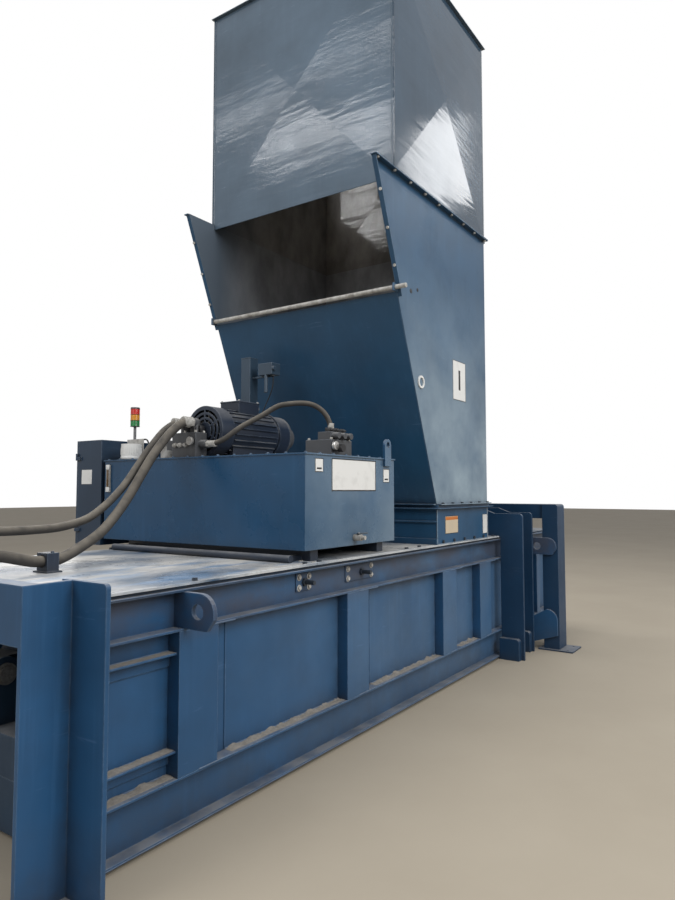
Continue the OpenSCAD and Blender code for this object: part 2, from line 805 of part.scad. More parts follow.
// Bent pipe: down from the hose's end, along the cylinder and down into its port.
module port_pipe(y, z, s) {
  bar_x(elbow_s, y, z, pipe_r, hose_end_s - 34 - elbow_s);
  bar_x(hose_end_s - 34, y, z, elbow_r, 34);
  bar_z(elbow_s, y, pipe_z, pipe_r, z - pipe_z);
  at(elbow_s, y, z) sphere(r = elbow_r);
  at(elbow_s, y, pipe_z) sphere(r = elbow_r);
  bar_x(elbow_s, y, pipe_z, pipe_r, s - elbow_s);
  at(s, y, pipe_z) sphere(r = elbow_r);
  bar_z(s, y, port_top, pipe_r, pipe_z - port_top);
}

// Steel pipes from the ends of the two main hoses to the cylinder's ports.
module cylinder_pipes() {
  color(steel) {
    port_pipe(base_port_y, hose_end_z1, base_port_s);
    port_pipe(rod_port_y, hose_end_z2, rod_port_s);
  }
}

hopper_y = rail_y - hopper_inset;
feed_end = feed_s + feed_l;
hood_s = feed_s - hood_reach;
tip_s = feed_s - tip_reach;
hopper_z = collar_z + collar_band;
hood_base = hood_z + flange_t;
collar_rib_z = collar_z - 122;
band_w = 14;

// Outward flange frame around the hopper's opening.
module flange_ring(z, t, w) {
  in = hopper_t + 2;
  difference() {
    block(feed_s - w, feed_end + w, -hopper_y - w, hopper_y + w, z, z + t);
    block(feed_s + in, feed_end - in, -hopper_y + in, hopper_y - in, z - 1, z + t + 1);
  }
}

// Feed collar: a rectangular frame on the deck, with a flange and a sealing band at its top.
module feed_collar() {
  in = hopper_t + 2;
  color(blue) {
    difference() {
      block(feed_s, feed_end, -hopper_y, hopper_y, deck_z, hopper_z);
      block(feed_s + in, feed_end - in, -hopper_y + in, hopper_y - in, deck_z - 1, hopper_z + 1);
    }
    flange_ring(collar_z - flange_t, flange_t, flange_w);
    flange_ring(collar_z, collar_band, band_w);
    block(feed_s - 16, feed_s + 1, -hopper_y, hopper_y, collar_rib_z, collar_rib_z + 12);
    block(feed_s - 10, feed_s + 1, -hopper_y, hopper_y, deck_z, deck_z + 50);
  }
}

// Station of the hopper's sloping front edge at a height.
function front_edge(z) = feed_s - tip_reach * (z - hopper_z) / (hood_z - hopper_z);

slope = atan(tip_reach / (hood_z - hopper_z));
bar_s = front_edge(bar_z) - bar_r - 12;

// Side plate of the hopper with its bottom, top and front flanges and the bar's ear.
module hopper_side() {
  edge_z = bar_z - 60;
  difference() {
    union() {
      long_plate(hopper_y - hopper_t, hopper_t, [[feed_s, hopper_z], [feed_end, hopper_z],
        [feed_end, hood_z], [tip_s, hood_z]]);
      block(feed_s, feed_end, hopper_y - 1, hopper_y + flange_w, hopper_z, hopper_z + flange_t);
      block(tip_s - 12, feed_end, hopper_y - 1, hopper_y + flange_w, hood_z - flange_t, hood_z);
      long_plate(hopper_y - 1, flange_w - 11, [[front_edge(edge_z), edge_z],
        [front_edge(edge_z) + 8, edge_z], [tip_s + 8, hood_z], [tip_s, hood_z]]);
      block(bar_s - bar_r - 12, bar_s + 90, hopper_y - hopper_t, hopper_y + 8,
        bar_z - bar_r - 12, bar_z + bar_r + 12);
    }
    bar_y(bar_s, 0, bar_z, bar_r + seat, 4 * hopper_y);
  }
}

module hopper_side_left() {
  color(blue) mirror([0, 1, 0]) hopper_side();
}

module hopper_side_right() {
  color(blue) hopper_side();
}

// Sloping front plate of the hopper, from the collar up to the window bar.
module hopper_front() {
  inner = hopper_y - hopper_t;
  top = bar_z - bar_r - 4;
  color(blue) {
    long_plate(-inner, 2 * inner, [[feed_s, hopper_z], [feed_s + hopper_t, hopper_z],
      [front_edge(top) + hopper_t, top], [front_edge(top), top]]);
    block(feed_s - flange_w, feed_s + 1, -inner, inner, hopper_z, hopper_z + flange_t);
  }
}

// Back plate of the hopper, with a flange at its foot and one at its top.
module hopper_back() {
  inner = hopper_y - hopper_t;
  color(blue) {
    block(feed_end - hopper_t, feed_end, -inner, inner, hopper_z, hood_z);
    for (z = [hopper_z, hood_z - flange_t])
      block(feed_end - 1, feed_end + flange_w, -inner, inner, z, z + flange_t);
  }
}

bar_out = 100;

// Bar across the foot of the hopper's window, through the ears of the side plates.
module window_bar() {
  color("gainsboro") at(bar_s, hopper_y + 20, bar_z) rotate([90, 0, 0])
    cylinder(r = bar_r, h = 2 * hopper_y + 20 + bar_out);
}

// Rectangular sheet with a cross break, a shallow pyramid. Its outer face is up.
module broken_sheet(w, h) {
  outer = [[0, 0, 0], [w, 0, 0], [w, h, 0], [0, h, 0], [w / 2, h / 2, break_rise]];
  inner = [for (p = outer) p - [0, 0, hopper_t]];
  polyhedron(points = concat(outer, inner), faces = [
    [4, 1, 0], [4, 2, 1], [4, 3, 2], [4, 0, 3], [9, 5, 6], [9, 6, 7], [9, 7, 8], [9, 8, 5],
    [0, 1, 6, 5], [1, 2, 7, 6], [2, 3, 8, 7], [3, 0, 5, 8]], convexity = 4);
}

hood_l = feed_end - hood_s;
hood_in = hopper_y - hopper_t;
seam_w = 20;

// Front panel of the hood, facing the power unit.
module hood_front() {
  z0 = hood_z - hood_drop;
  color(blue) at(hood_s, hood_in, z0) rotate([90, 0, -90])
    broken_sheet(2 * hood_in, hood_top - z0);
}

// Foot flange and front seam of a side panel of the hood.
module hood_seams() {
  block(hood_s, feed_end, hopper_y, hopper_y + flange_w, hood_z, hood_base);
  block(hood_s - 4, hood_s, hood_in, hopper_y + seam_w, hood_z, hood_top);
}

// Left panel of the hood.
module hood_left() {
  color(blue) mirror([0, 1, 0]) {
    at(feed_end, hopper_y, hood_z) rotate([90, 0, 180]) broken_sheet(hood_l, hood_top - hood_z);
    hood_seams();
  }
}

inlet_mid_s = (hood_s + feed_end) / 2;
inlet_z1 = hood_top - inlet_drop;
inlet_z0 = inlet_z1 - inlet_h;
inlet_s0 = inlet_mid_s - inlet_w / 2;
inlet_s1 = inlet_mid_s + inlet_w / 2;
inlet_y = hopper_y + inlet_reach;

// Right panel of the hood, with the flanged conveyor inlet.
module hood_right() {
  t = hopper_t;
  color(blue) {
    difference() {
      union() {
        block(hood_s, feed_end, hood_in, hopper_y, hood_z, hood_top);
        block(inlet_s0 - t, inlet_s1 + t, hood_in, inlet_y, inlet_z0 - t, inlet_z1 + t);
        block(inlet_s0 - flange_w, inlet_s1 + flange_w, inlet_y - flange_t, inlet_y,
          inlet_z0 - flange_w, inlet_z1 + flange_w);
      }
      block(inlet_s0, inlet_s1, hood_in - 1, inlet_y + 1, inlet_z0, inlet_z1);
    }
    hood_seams();
  }
}

// Back panel of the hood.
module hood_back() {
  color(blue) {
    at(feed_end, -hood_in, hood_z) rotate([90, 0, 90])
      broken_sheet(2 * hood_in, hood_top - hood_z);
    block(feed_end - 1, feed_end + flange_w, -hood_in, hood_in, hood_z, hood_base);
  }
}

// Closed top of the hood.
module hood_roof() {
  over = break_rise + 6;
  color(blue) block(hood_s - over, feed_end + over, -hopper_y - over, hopper_y + over,
    hood_top, hood_top + hopper_t);
}

// Hexagon bolt head that points along +Z.
module bolt_head(w, h) {
  cylinder(d = w, h = h, $fn = 6);
}

flange_bolts = 9;
collar_bolts = 6;
base_bolts = 5;
tip_bolts = 3;
deck_bolt_s = [side_post_s1, tank_s - 40, tank_s + 110, tank_s + tank_l + 140, feed_s - 285, tie_s1 - 110];
guide_pin_s = [tank_s - 22, tank_s + 638];
guide_pin_z = roof_z - 84;
guide_pin_l = 90;

// Bolts of the flanges, the collar's foot and the deck, and the guide pins in the top rails.
module bolts() {
  color("gray") both_sides() {
    for (i = [0:flange_bolts - 1])
      at(tip_s + 40 + i * (feed_end - tip_s - 80) / (flange_bolts - 1), hopper_y + 26,
        hood_z - flange_t) rotate([180, 0, 0]) bolt_head(26, 12);
    for (i = [0:collar_bolts - 1])
      at(feed_s + 60 + i * (feed_l - 120) / (collar_bolts - 1), hopper_y + 28, hopper_z + flange_t)
        bolt_head(26, 12);
    for (i = [0:base_bolts - 1])
      at(feed_s + 110 + i * (feed_l - 220) / (base_bolts - 1), hopper_y, deck_z + 22)
        rotate([-90, 0, 0]) bolt_head(28, 12);
    for (i = [0:tip_bolts - 1]) {
      z = bar_z + 160 + i * 260;
      at(front_edge(z), hopper_y + 20, z) rotate([0, -90 - slope, 0]) bolt_head(24, 12);
    }
    for (s = deck_bolt_s) at(s, deck_y - 28, deck_z) bolt_head(30, 14);
    for (s = guide_pin_s) at(s, web_y + rail_t, guide_pin_z) rotate([-90, 0, 0]) {
      cylinder(r = 14, h = guide_pin_l);
      bolt_head(52, 24);
    }
  }
}

tank_z = deck_z + skid_h;
tank_top = tank_z + tank_h;
tank_end = tank_s + tank_l;
tank_y0 = -rail_y + tank_inset;
tank_y1 = tank_y0 + tank_w;
lid_t = 10;
lid_over = 8;
tank_wall = 6;
eye_s = tank_end - 120;
tank_eye_r = 45;
tank_eye_z = tank_top + 100;

// Oil tank: a closed steel box with its cover plate and a lifting eye on its left face.
module oil_tank() {
  color(blue) difference() {
    union() {
      block(tank_s, tank_end, tank_y0, tank_y1, tank_z, tank_top - lid_t);
      block(tank_s - lid_over, tank_end + lid_over, tank_y0 - lid_over, tank_y1 + lid_over,
        tank_top - lid_t, tank_top);
      block(eye_s - tank_eye_r, eye_s + tank_eye_r, tank_y0 - 20, tank_y0 + 1, tank_top - 60,
        tank_eye_z);
      bar_y(eye_s, tank_y0 - 10, tank_eye_z, tank_eye_r, 20);
    }
    block(tank_s + tank_wall, tank_end - tank_wall, tank_y0 + tank_wall, tank_y1 - tank_wall,
      tank_z + tank_wall, tank_top - lid_t);
    bar_y(eye_s, tank_y0, tank_eye_z, 22, 80);
  }
}

skid_w = 80;
skid_in = 110;
return_r = 24;

// Skids under the tank, and the return pipe on the deck behind it with its saddles.
module tank_skids() {
  color(blue) for (s = [tank_s + skid_in, tank_end - skid_in - skid_w])
    block(s, s + skid_w, tank_y0 + 40, deck_y - 50, deck_z, tank_z);
  color("gray") {
    bar_y(tank_s - 48, (tank_y0 + deck_y) / 2, deck_z + return_r, return_r,
      deck_y - tank_y0 - 150);
    for (y = [tank_y0 + 110, deck_y - 170])
      block(tank_s - 48, tank_s + skid_in, y, y + 46, deck_z, deck_z + 40);
  }
}

gauge_y = tank_y1 - 55;
gauge_h = 214;
gauge_z = tank_z + 368;
drain_s = tank_s + 569;
drain_z = tank_z + 54;
drain_y = tank_y0 - 36;
breather_s = tank_s + 100;
breather_y = tank_y1 - 190;
neck_r = 52;
neck_h = 46;
filter_s = tank_s + 190;
filter_y = tank_y1 - 525;
guard_s = tank_s + 210;

// Tank fittings: level gauge, filler neck, return filter, guard plate and drain valve body.
module tank_fittings() {
  color("gainsboro") {
    block(tank_s - 16, tank_s, gauge_y - 18, gauge_y + 18, gauge_z, gauge_z + gauge_h);
    bar_z(breather_s, breather_y, tank_top, neck_r, neck_h);
  }
  color(dark_blue) {
    bar_z(filter_s, filter_y, tank_top, 62, 110);
    bar_z(filter_s, filter_y, tank_top + 110, 76, 24);
    block(guard_s, guard_s + 6, tank_y1 - 200, tank_y1, tank_top, tank_top + 177);
  }
  color("goldenrod") {
    bar_y(drain_s, tank_y0 - 30, drain_z, 22, 60);
    bar_y(drain_s, tank_y0 - 74, drain_z, 15, 30);
    bar_z(drain_s, drain_y, drain_z, 9, 34);
  }
}

// Filler cap with its breather, on the filler neck.
module filler_cap() {
  color("white") difference() {
    bar_z(breather_s, breather_y, tank_top + 6, neck_r + 26, 120);
    bar_z(breather_s, breather_y, tank_top + 5, neck_r + 0.06, neck_h - 5 + seat);
  }
}

lever_z = drain_z + 22 + seat;

// Lever of the drain valve.
module drain_lever() {
  color("firebrick") difference() {
    union() {
      bar_z(drain_s, drain_y, lever_z, 15, 8);
      block(drain_s, drain_s + 110, drain_y - 9, drain_y + 9, lever_z, lever_z + 8);
    }
    bar_z(drain_s, drain_y, lever_z - 1, 9.06, 10);
  }
}

motor_s = tank_s + 260;
motor_end = motor_s + motor_l;
motor_z = tank_top + 14 + motor_r;
cowl_l = 110;
bell_l = 130;
fin_h = 14;
fins = 24;
core_r = motor_r - fin_h;
shell_t = 26;
cowl_s = motor_s - cowl_l;
vent_rings = 3;
vent_w = 18;
vent_pitch = 36;

// Drive motor: fan cowl, finned frame on its feet, terminal box and pump housing.
module drive_motor() {
  color(dark_blue) difference() {
    union() {
      bar_x(motor_s, motor_y, motor_z, core_r, motor_l + bell_l);
      for (s = [motor_s, motor_end - 16]) bar_x(s, motor_y, motor_z, motor_r, 16);
      for (i = [0:fins - 1]) at(motor_s + 40, motor_y, motor_z) rotate([(i + 0.5) * 360 / fins, 0, 0])
        translate([0, -4, core_r - 6]) cube([motor_l - 80, 8, fin_h + 6]);
      block(motor_s + 60, motor_end - 40, motor_y - 150, motor_y + 150, tank_top, tank_top + 24);
      for (y = [motor_y - 130, motor_y + 90])
        block(motor_s + 60, motor_end - 40, y, y + 40, tank_top, motor_z - 90);
      block(motor_s + 150, motor_s + 380, motor_y - 100, motor_y + 90, motor_z + core_r - 30,
        motor_z + core_r + 64);
    }
    bar_x(motor_s + shell_t, motor_y, motor_z, core_r - shell_t, motor_l - 2 * shell_t);
    bar_x(motor_s - 1, motor_y, motor_z, shaft_r + shaft_fit, motor_l + 20);
    bar_x(motor_end + 12, motor_y, motor_z, core_r - 30, bell_l);
  }
  color("dimgray") difference() {
    bar_x(cowl_s, motor_y, motor_z, motor_r, cowl_l);
    bar_x(cowl_s + 6, motor_y, motor_z, motor_r - 6, cowl_l);
    for (k = [0:vent_rings - 1]) difference() {
      bar_x(cowl_s - 1, motor_y, motor_z, 66 + vent_w + k * vent_pitch, 8);
      bar_x(cowl_s - 2, motor_y, motor_z, 66 + k * vent_pitch, 10);
      for (a = [0, 60, 120]) at(cowl_s - 2, motor_y, motor_z) rotate([a, 0, 0])
        translate([0, -6, -motor_r]) cube([12, 12, 2 * motor_r]);
    }
  }
}

fan_s = motor_s - 70;
fan_r = motor_r - 30;
fan_blades = 7;
coupling_s = motor_end + 34;

// Rotor of the motor: shaft, winding core, cooling fan and coupling half.
module motor_rotor() {
  color(steel) {
    bar_x(fan_s, motor_y, motor_z, shaft_r, coupling_s + 50 - fan_s);
    bar_x(motor_s + 50, motor_y, motor_z, core_r - 50, motor_l - 100);
    bar_x(fan_s, motor_y, motor_z, 52, 44);
    bar_x(coupling_s, motor_y, motor_z, 62, 50);
    for (i = [0:fan_blades - 1]) at(fan_s, motor_y, motor_z) rotate([i * 360 / fan_blades, 0, 0])
      translate([2, -4, 40]) cube([40, 8, fan_r - 40]);
  }
}

pump_s = motor_end + bell_l;
pump_r = 95;
pump_port_s = pump_s + 90;
pump_port_y = motor_y + 170;
pump_port_z = motor_z + 90;

line_y = pump_port_y + 80;
line_z = tank_top + 95;
line_r = 17;
line_s = tank_s + 115;

// Pump on the motor's housing, with its outlet block and the steel pipe to the main valve.
module pump() {
  color("slategray") {
    bar_x(pump_s, motor_y, motor_z, core_r, 24);
    bar_x(pump_s + 23, motor_y, motor_z, pump_r, 130);
    bar_x(pump_s - 30, motor_y, motor_z, 44, 31);
    block(pump_port_s - 38, pump_port_s + 38, motor_y, pump_port_y + 34, motor_z - 36,
      pump_port_z - 44);
    bar_y(pump_port_s, pump_port_y + 44, motor_z, 26, 22);
  }
  color(steel) {
    bar_y(pump_port_s, (pump_port_y + 50 + line_y) / 2, motor_z, line_r, line_y - pump_port_y - 50);
    at(pump_port_s, line_y, motor_z) sphere(r = line_r + 6);
    bar_z(pump_port_s, line_y, line_z, line_r, motor_z - line_z);
    at(pump_port_s, line_y, line_z) sphere(r = line_r + 6);
    bar_x(line_s, line_y, line_z, line_r, pump_port_s - line_s);
  }
}

stack_s = tank_s + 500;
stack_y = tank_y0 + 170;
stack_h = 110;
coils = 3;
coil_pitch = 76;

// Valve stack on the tank's left side: a ported block with three solenoid valves.
module valve_stack() {
  color("slategray") {
    block(stack_s - 125, stack_s + 125, stack_y - 110, stack_y + 110, tank_top, tank_top + stack_h);
    bar_z(stack_s + 95, stack_y + 50, tank_top + stack_h - 1, 28, 50);
  }
  color(steel) {
    for (i = [0:coils - 1]) {
      s = stack_s + (i - 1) * coil_pitch;
      block(s - 28, s + 28, stack_y - 92, stack_y + 20, tank_top + stack_h - 1, tank_top + stack_h + 56);
      bar_y(s, stack_y - 112, tank_top + stack_h + 28, 22, 60);
    }
    bar_y(stack_s - 60, stack_y - 128, tank_top + 50, 16, 40);
  }
}

// Adjusting knob of the relief valve.
module relief_knob() {
  color("black") difference() {
    bar_y(stack_s - 60, stack_y - 148, tank_top + 50, 27, 40);
    bar_y(stack_s - 60, stack_y - 128, tank_top + 50, 16.06, 40.8);
  }
}

valve_s0 = tank_s + 25;
valve_s1 = valve_s0 + 110;
valve_y0 = 96;
valve_y1 = 340;
valve_top = tank_top + 180;
hose_y1 = 172;
hose_y2 = 272;
hose_top_s = valve_s0 + 30;
hose_top_z = tank_top + 255;

// Elbow on the main valve that takes a hose's upper end.
module hose_elbow(y, r) {
  bar_x(hose_top_s, y, hose_top_z, r, 40);
  at(hose_top_s + 40, y, hose_top_z) sphere(r = r);
  bar_z(hose_top_s + 40, y, valve_top - 1, r, hose_top_z - valve_top + 1);
}

// Main valve for the two cylinder hoses, with its elbows and its pilot valve.
module main_valve() {
  color("slategray") {
    block(valve_s0, valve_s1, valve_y0, valve_y1, tank_top, valve_top);
    block(valve_s0 + 20, valve_s1 - 20, valve_y1 - 1, valve_y1 + 80, tank_top + 60, tank_top + 130);
    bar_y((valve_s0 + valve_s1) / 2, valve_y0 - 30, tank_top + 95, 30, 62);
  }
  color(steel) {
    hose_elbow(hose_y1, hose_d1 / 2 + 5);
    hose_elbow(hose_y2, hose_d2 / 2 + 5);
  }
}

function unit(v) = v / norm(v);

// Direction of a route at one of its points.
function heading(p, i) = unit(p[min(i + 1, len(p) - 1)] - p[max(i - 1, 0)]);

// Side directions carried along the route without twist.
function sides(p, i, last) = i >= len(p) ? [] :
  let (h = heading(p, i), s = unit(last - h * (last * h)))
  concat([s], sides(p, i + 1, s));

// Round hose swept along a route whose X is given as stations.
module hose(p, d) {
  n = 10;
  side = sides(p, 0, abs(heading(p, 0)[2]) > 0.9 ? [1, 0, 0] : [0, 0, 1]);
  end = len(p) - 1;
  rings = [for (i = [0:end]) let (h = heading(p, i), v = cross(h, side[i]))
    for (k = [0:n - 1]) p[i] + (side[i] * cos(k * 360 / n) + v * sin(k * 360 / n)) * d / 2];
  at(0) polyhedron(points = rings, faces = concat(
    [[for (k = [0:n - 1]) k]],
    [for (i = [0:end - 1]) for (k = [0:n - 1])
      [i * n + k, (i + 1) * n + k, (i + 1) * n + (k + 1) % n, i * n + (k + 1) % n]],
    [[for (k = [0:n - 1]) end * n + n - 1 - k]]), convexity = 10);
}

hose_route_1 = [[262, -36, 1322], [300, -36, 1322], [360, -34, 1320], [450, -28, 1309],
  [540, -18, 1288], [630, -4, 1267], [685, 0, 1262], [771, 0, 1262], [840, 10, 1277],
  [958, 40, 1318],
  [1124, 80, 1393], [1259, 112, 1495], [1376, 136, 1612], [1487, 152, 1752], [1595, 162, 1892],
  [1714, 170, 2020], [1810, 172, 2104], [1880, 172, 2142], [1930, 172, 2150], [1955, 172, 2150]];
hose_route_2 = [[262, 50, 1436], [320, 50, 1436], [420, 54, 1436], [520, 64, 1434],
  [671, 90, 1432], [883, 130, 1438], [1080, 170, 1474], [1200, 190, 1530], [1310, 208, 1604],
  [1418, 225, 1695], [1535, 245, 1822], [1645, 260, 1944], [1760, 270, 2060], [1830, 272, 2112],
  [1890, 272, 2143], [1930, 272, 2150], [1955, 272, 2150]];
hose_route_3 = [[1980, 35, 1990], [1980, -18, 1990], [1990, -70, 2001], [2008, -118, 2026],
  [2039, -163, 2067], [2084, -208, 2112], [2127, -251, 2147], [2193, -314, 2200],
  [2251, -400, 2260], [2302, -479, 2277], [2366, -540, 2283], [2405, -582, 2275],
  [2438, -621, 2252], [2466, -655, 2213], [2487, -678, 2161], [2495, -690, 2104],
  [2495, -690, 2054]];

module hose_base_end() {
  color("dimgray") hose(hose_route_1, hose_d1);
}

module hose_rod_end() {
  color("dimgray") hose(hose_route_2, hose_d2);
}

module hose_stack() {
  color("dimgray") hose(hose_route_3, hose_d3);
}

clamp_s = 728;
clamp_z = 1262;
clamp_half = 36;

// Clamp that holds the lower hose on the deck, with its base plate and bolt.
module hose_clamp() {
  color(dark_blue) difference() {
    union() {
      block(clamp_s - clamp_half, clamp_s + clamp_half, -50, 50, deck_z, clamp_z + 46);
      block(clamp_s - clamp_half - 12, clamp_s + clamp_half + 12, -66, 66, deck_z, deck_z + 8);
    }
    bar_x(clamp_s - 90, 0, clamp_z, hose_d1 / 2 + 4, 180);
  }
  color("gray") bar_z(clamp_s, -40, clamp_z + 46, 9, 10);
}

cabinet_s = tank_s - 10;
cabinet_e = cabinet_s + cabinet_l;
cabinet_y0 = tank_y1 + cabinet_gap;
cabinet_y1 = cabinet_y0 + cabinet_d;
cabinet_top = cabinet_z + cabinet_h;
door_t = 22;
rim_y = cabinet_y1 - door_t;
hinge_r = 9;
hinge_pin_r = 6;
hinge_s = cabinet_s - hinge_r - 1;
hinge_y = rim_y + door_t / 2;
knuckle_h = 28;
hinge_z = [cabinet_z + 100, cabinet_top - 160];
bracket_z = [tank_z + 100, tank_top - 160];

// Control cabinet: a sheet box open towards its door, on brackets from the tank's right face.
module cabinet() {
  t = cabinet_t;
  color(dark_blue) {
    difference() {
      block(cabinet_s, cabinet_e, cabinet_y0, rim_y, cabinet_z, cabinet_top);
      block(cabinet_s + t, cabinet_e - t, cabinet_y0 + t, cabinet_y1, cabinet_z + t,
        cabinet_top - t);
    }
    for (z = bracket_z, s = [cabinet_s + 60, cabinet_e - 120])
      block(s, s + 60, tank_y1, cabinet_y0 + 1, z, z + 60);
    block(cabinet_s + 60, cabinet_e - 60, cabinet_y0 + t - 1, cabinet_y0 + t + 4, cabinet_z + 60,
      cabinet_top - 60);
    for (z = hinge_z) {
      bar_z(hinge_s, hinge_y, z, hinge_r, knuckle_h);
      block(hinge_s - 4, cabinet_s, rim_y - 36, hinge_y, z, z + knuckle_h);
    }
  }
  color(steel) for (z = hinge_z) bar_z(hinge_s, hinge_y, z, hinge_pin_r, 2 * knuckle_h);
}

pole_s = cabinet_s + 360;
pole_y = cabinet_y0 + 45;
lens_z = cabinet_top + 136;
lens_h = 50;
lens_r = 38;
lenses = 3;

// Stack light on its pole: a foot, three lenses and a cap.
module stack_light() {
  color("gray") {
    bar_z(pole_s, pole_y, cabinet_top, 34, 14);
    bar_z(pole_s, pole_y, cabinet_top, 12, lens_z - cabinet_top);
    bar_z(pole_s, pole_y, lens_z + lenses * lens_h, lens_r, 12);
  }
  for (i = [0:lenses - 1]) color(["green", "gold", "red"][i])
    bar_z(pole_s, pole_y, lens_z + i * lens_h, lens_r, lens_h);
}

sensor_s = tank_end - 127;
sensor_y = motor_y + 323;
head_y0 = sensor_y - 298;
head_y1 = head_y0 + 150;
head_z = tank_top + 740;
head_h = 100;

// Sensor post: a square tube on the tank, with a bracket, a sensor head and its probe.
module sensor_unit() {
  half = sensor_w / 2;
  color(blue) {
    difference() {
      block(sensor_s - half, sensor_s + half, sensor_y - half, sensor_y + half, tank_top,
        tank_top + sensor_h);
      block(sensor_s - half + 5, sensor_s + half - 5, sensor_y - half + 5, sensor_y + half - 5,
        tank_top + 20, tank_top + sensor_h + 1);
    }
    block(sensor_s - 80, sensor_s + 80, sensor_y - 80, sensor_y + 80, tank_top, tank_top + 10);
    block(sensor_s - 10, sensor_s + 10, head_y0 + 40, sensor_y - half, head_z - 14, head_z);
  }
  color("gainsboro")
    block(sensor_s - half - 2, sensor_s + half + 2, sensor_y - half - 2, sensor_y + half + 2,
      tank_top + sensor_h, tank_top + sensor_h + 6);
  color("tan") block(sensor_s - 55, sensor_s + 55, head_y0, head_y1, head_z, head_z + head_h);
  color("silver") {
    bar_z(sensor_s - 40, (head_y0 + head_y1) / 2, head_z - 150, 16, 150);
    bar_y(sensor_s - 40, head_y0 - 10, head_z + head_h / 2, 18, 20);
  }
}

sign_t = 2;

// Thin plate on a face that looks to the left, given by its rear lower corner and its size.
module left_sign(s, y, z, w, h) {
  block(s, s + w, y - sign_t, y, z, z + h);
}

tank_sign_w = 563;
tank_sign_h = 219;
tank_label_w = 89;
tank_label_h = 88;
collar_label_w = 260;
collar_label_h = 152;
edge_label_w = 113;
edge_label_h = 186;
hopper_label_w = 271;
hopper_label_h = 356;
cabinet_label_w = 130;
cabinet_label_h = 115;
ring_r = 52;
ring_hole_r = 36;
ring_t = 10;
ring_s = feed_s - 278;
ring_z = hopper_z + 1003;

// Blank sign plates and labels of the tank, the hopper and the cabinet.
module sign_plates() {
  color("white") {
    left_sign(tank_s + 291, tank_y0, tank_top - 244, tank_sign_w, tank_sign_h);
    left_sign(tank_s + 104, tank_y0, tank_top - 120, tank_label_w, tank_label_h);
    left_sign(tank_end - 164, tank_y0, tank_top - 180, tank_label_w, tank_label_h + 12);
    left_sign(feed_end - 6 - edge_label_w, -hopper_y, deck_z + 44, edge_label_w, edge_label_h);
    left_sign(feed_s + 341, -hopper_y, hopper_z + 933, hopper_label_w, hopper_label_h);
    block(cabinet_s - sign_t, cabinet_s, cabinet_y0 + 120, cabinet_y0 + 120 + cabinet_label_w,
      cabinet_z + 485, cabinet_z + 485 + cabinet_label_h);
  }
  color("moccasin")
    left_sign(feed_s + 157, -hopper_y, deck_z + 83, collar_label_w, collar_label_h);
  color("silver") difference() {
    bar_y(ring_s, -hopper_y - ring_t / 2, ring_z, ring_r, ring_t);
    bar_y(ring_s, -hopper_y - ring_t / 2, ring_z, ring_hole_r, ring_t + 2);
  }
}

handle_s = cabinet_e - 70;
handle_z = cabinet_z + cabinet_h / 2;
stop_z = handle_z + 200;
stop_r = 11;
handle_r = 12;
grip_l = 110;
button_fit = 0.06;

// Door of the cabinet: a tray with two hinge knuckles and the stop button's collar.
module cabinet_door() {
  t = cabinet_t;
  y0 = rim_y + seat;
  color(dark_blue) difference() {
    union() {
      difference() {
        block(cabinet_s, cabinet_e, y0, cabinet_y1, cabinet_z, cabinet_top);
        block(cabinet_s + t, cabinet_e - t, y0 - 1, cabinet_y1 - t, cabinet_z + t, cabinet_top - t);
      }
      for (z = hinge_z) {
        bar_z(hinge_s, hinge_y, z + knuckle_h + seat, hinge_r, knuckle_h);
        block(hinge_s, cabinet_s + 1, hinge_y, hinge_y + hinge_r, z + knuckle_h + seat,
          z + 2 * knuckle_h + seat);
      }
      bar_y(handle_s, cabinet_y1 + 2, stop_z, 30, 8);
    }
    for (z = hinge_z) bar_z(hinge_s, hinge_y, z + 1, hinge_pin_r + button_fit, 3 * knuckle_h);
    bar_y(handle_s, cabinet_y1, handle_z, handle_r + button_fit, 3 * door_t);
    bar_y(handle_s, cabinet_y1, stop_z, stop_r + button_fit, 3 * door_t);
  }
}

// Turning handle of the cabinet's door: rosette, grip, and a spindle with its cam.
module door_handle() {
  color("black") {
    bar_y(handle_s, cabinet_y1 + 10, handle_z, handle_r, 56);
    bar_y(handle_s, cabinet_y1 + 8 + seat, handle_z, 26, 16);
    block(handle_s - 12, handle_s + 12, cabinet_y1 + 15, cabinet_y1 + 34, handle_z - grip_l, handle_z);
    block(handle_s - 8, handle_s + 8, cabinet_y1 - 18, cabinet_y1 - 12, handle_z - 46, handle_z);
  }
}

// Stop button on the cabinet's door.
module stop_button() {
  color("red") {
    bar_y(handle_s, cabinet_y1 + 4, stop_z, stop_r, 44);
    bar_y(handle_s, cabinet_y1 + 25, stop_z, 24, 22);
  }
}

rear_frame();
cylinder_beam();
side_walls();
top_rails();
bottom_rails();
side_stiffeners();
floor_plate();
cross_members();
roof_plates();
deck_plates();
tie_frames();
exit_frame();
flap_hinge();
tension_cylinders();
lifting_lugs();
shear_blade();
cylinder_barrel();
base_pin();
cylinder_pipes();
feed_collar();
hopper_side_left();
hopper_side_right();
hopper_front();
hopper_back();
window_bar();
hood_front();
hood_left();
hood_right();
hood_back();
hood_roof();
bolts();
oil_tank();
tank_skids();
tank_fittings();
drive_motor();
pump();
valve_stack();
main_valve();
hose_base_end();
hose_rod_end();
hose_stack();
hose_clamp();
cabinet();
stack_light();
sensor_unit();
sign_plates();
tension_flap();
tension_rods();
ram_body();
ram_blade();
ram_shoes();
piston_rod();
rod_pin();
motor_rotor();
relief_knob();
cabinet_door();
door_handle();
stop_button();
filler_cap();
drain_lever();
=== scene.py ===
import math

import bmesh
import bpy
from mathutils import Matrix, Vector, noise


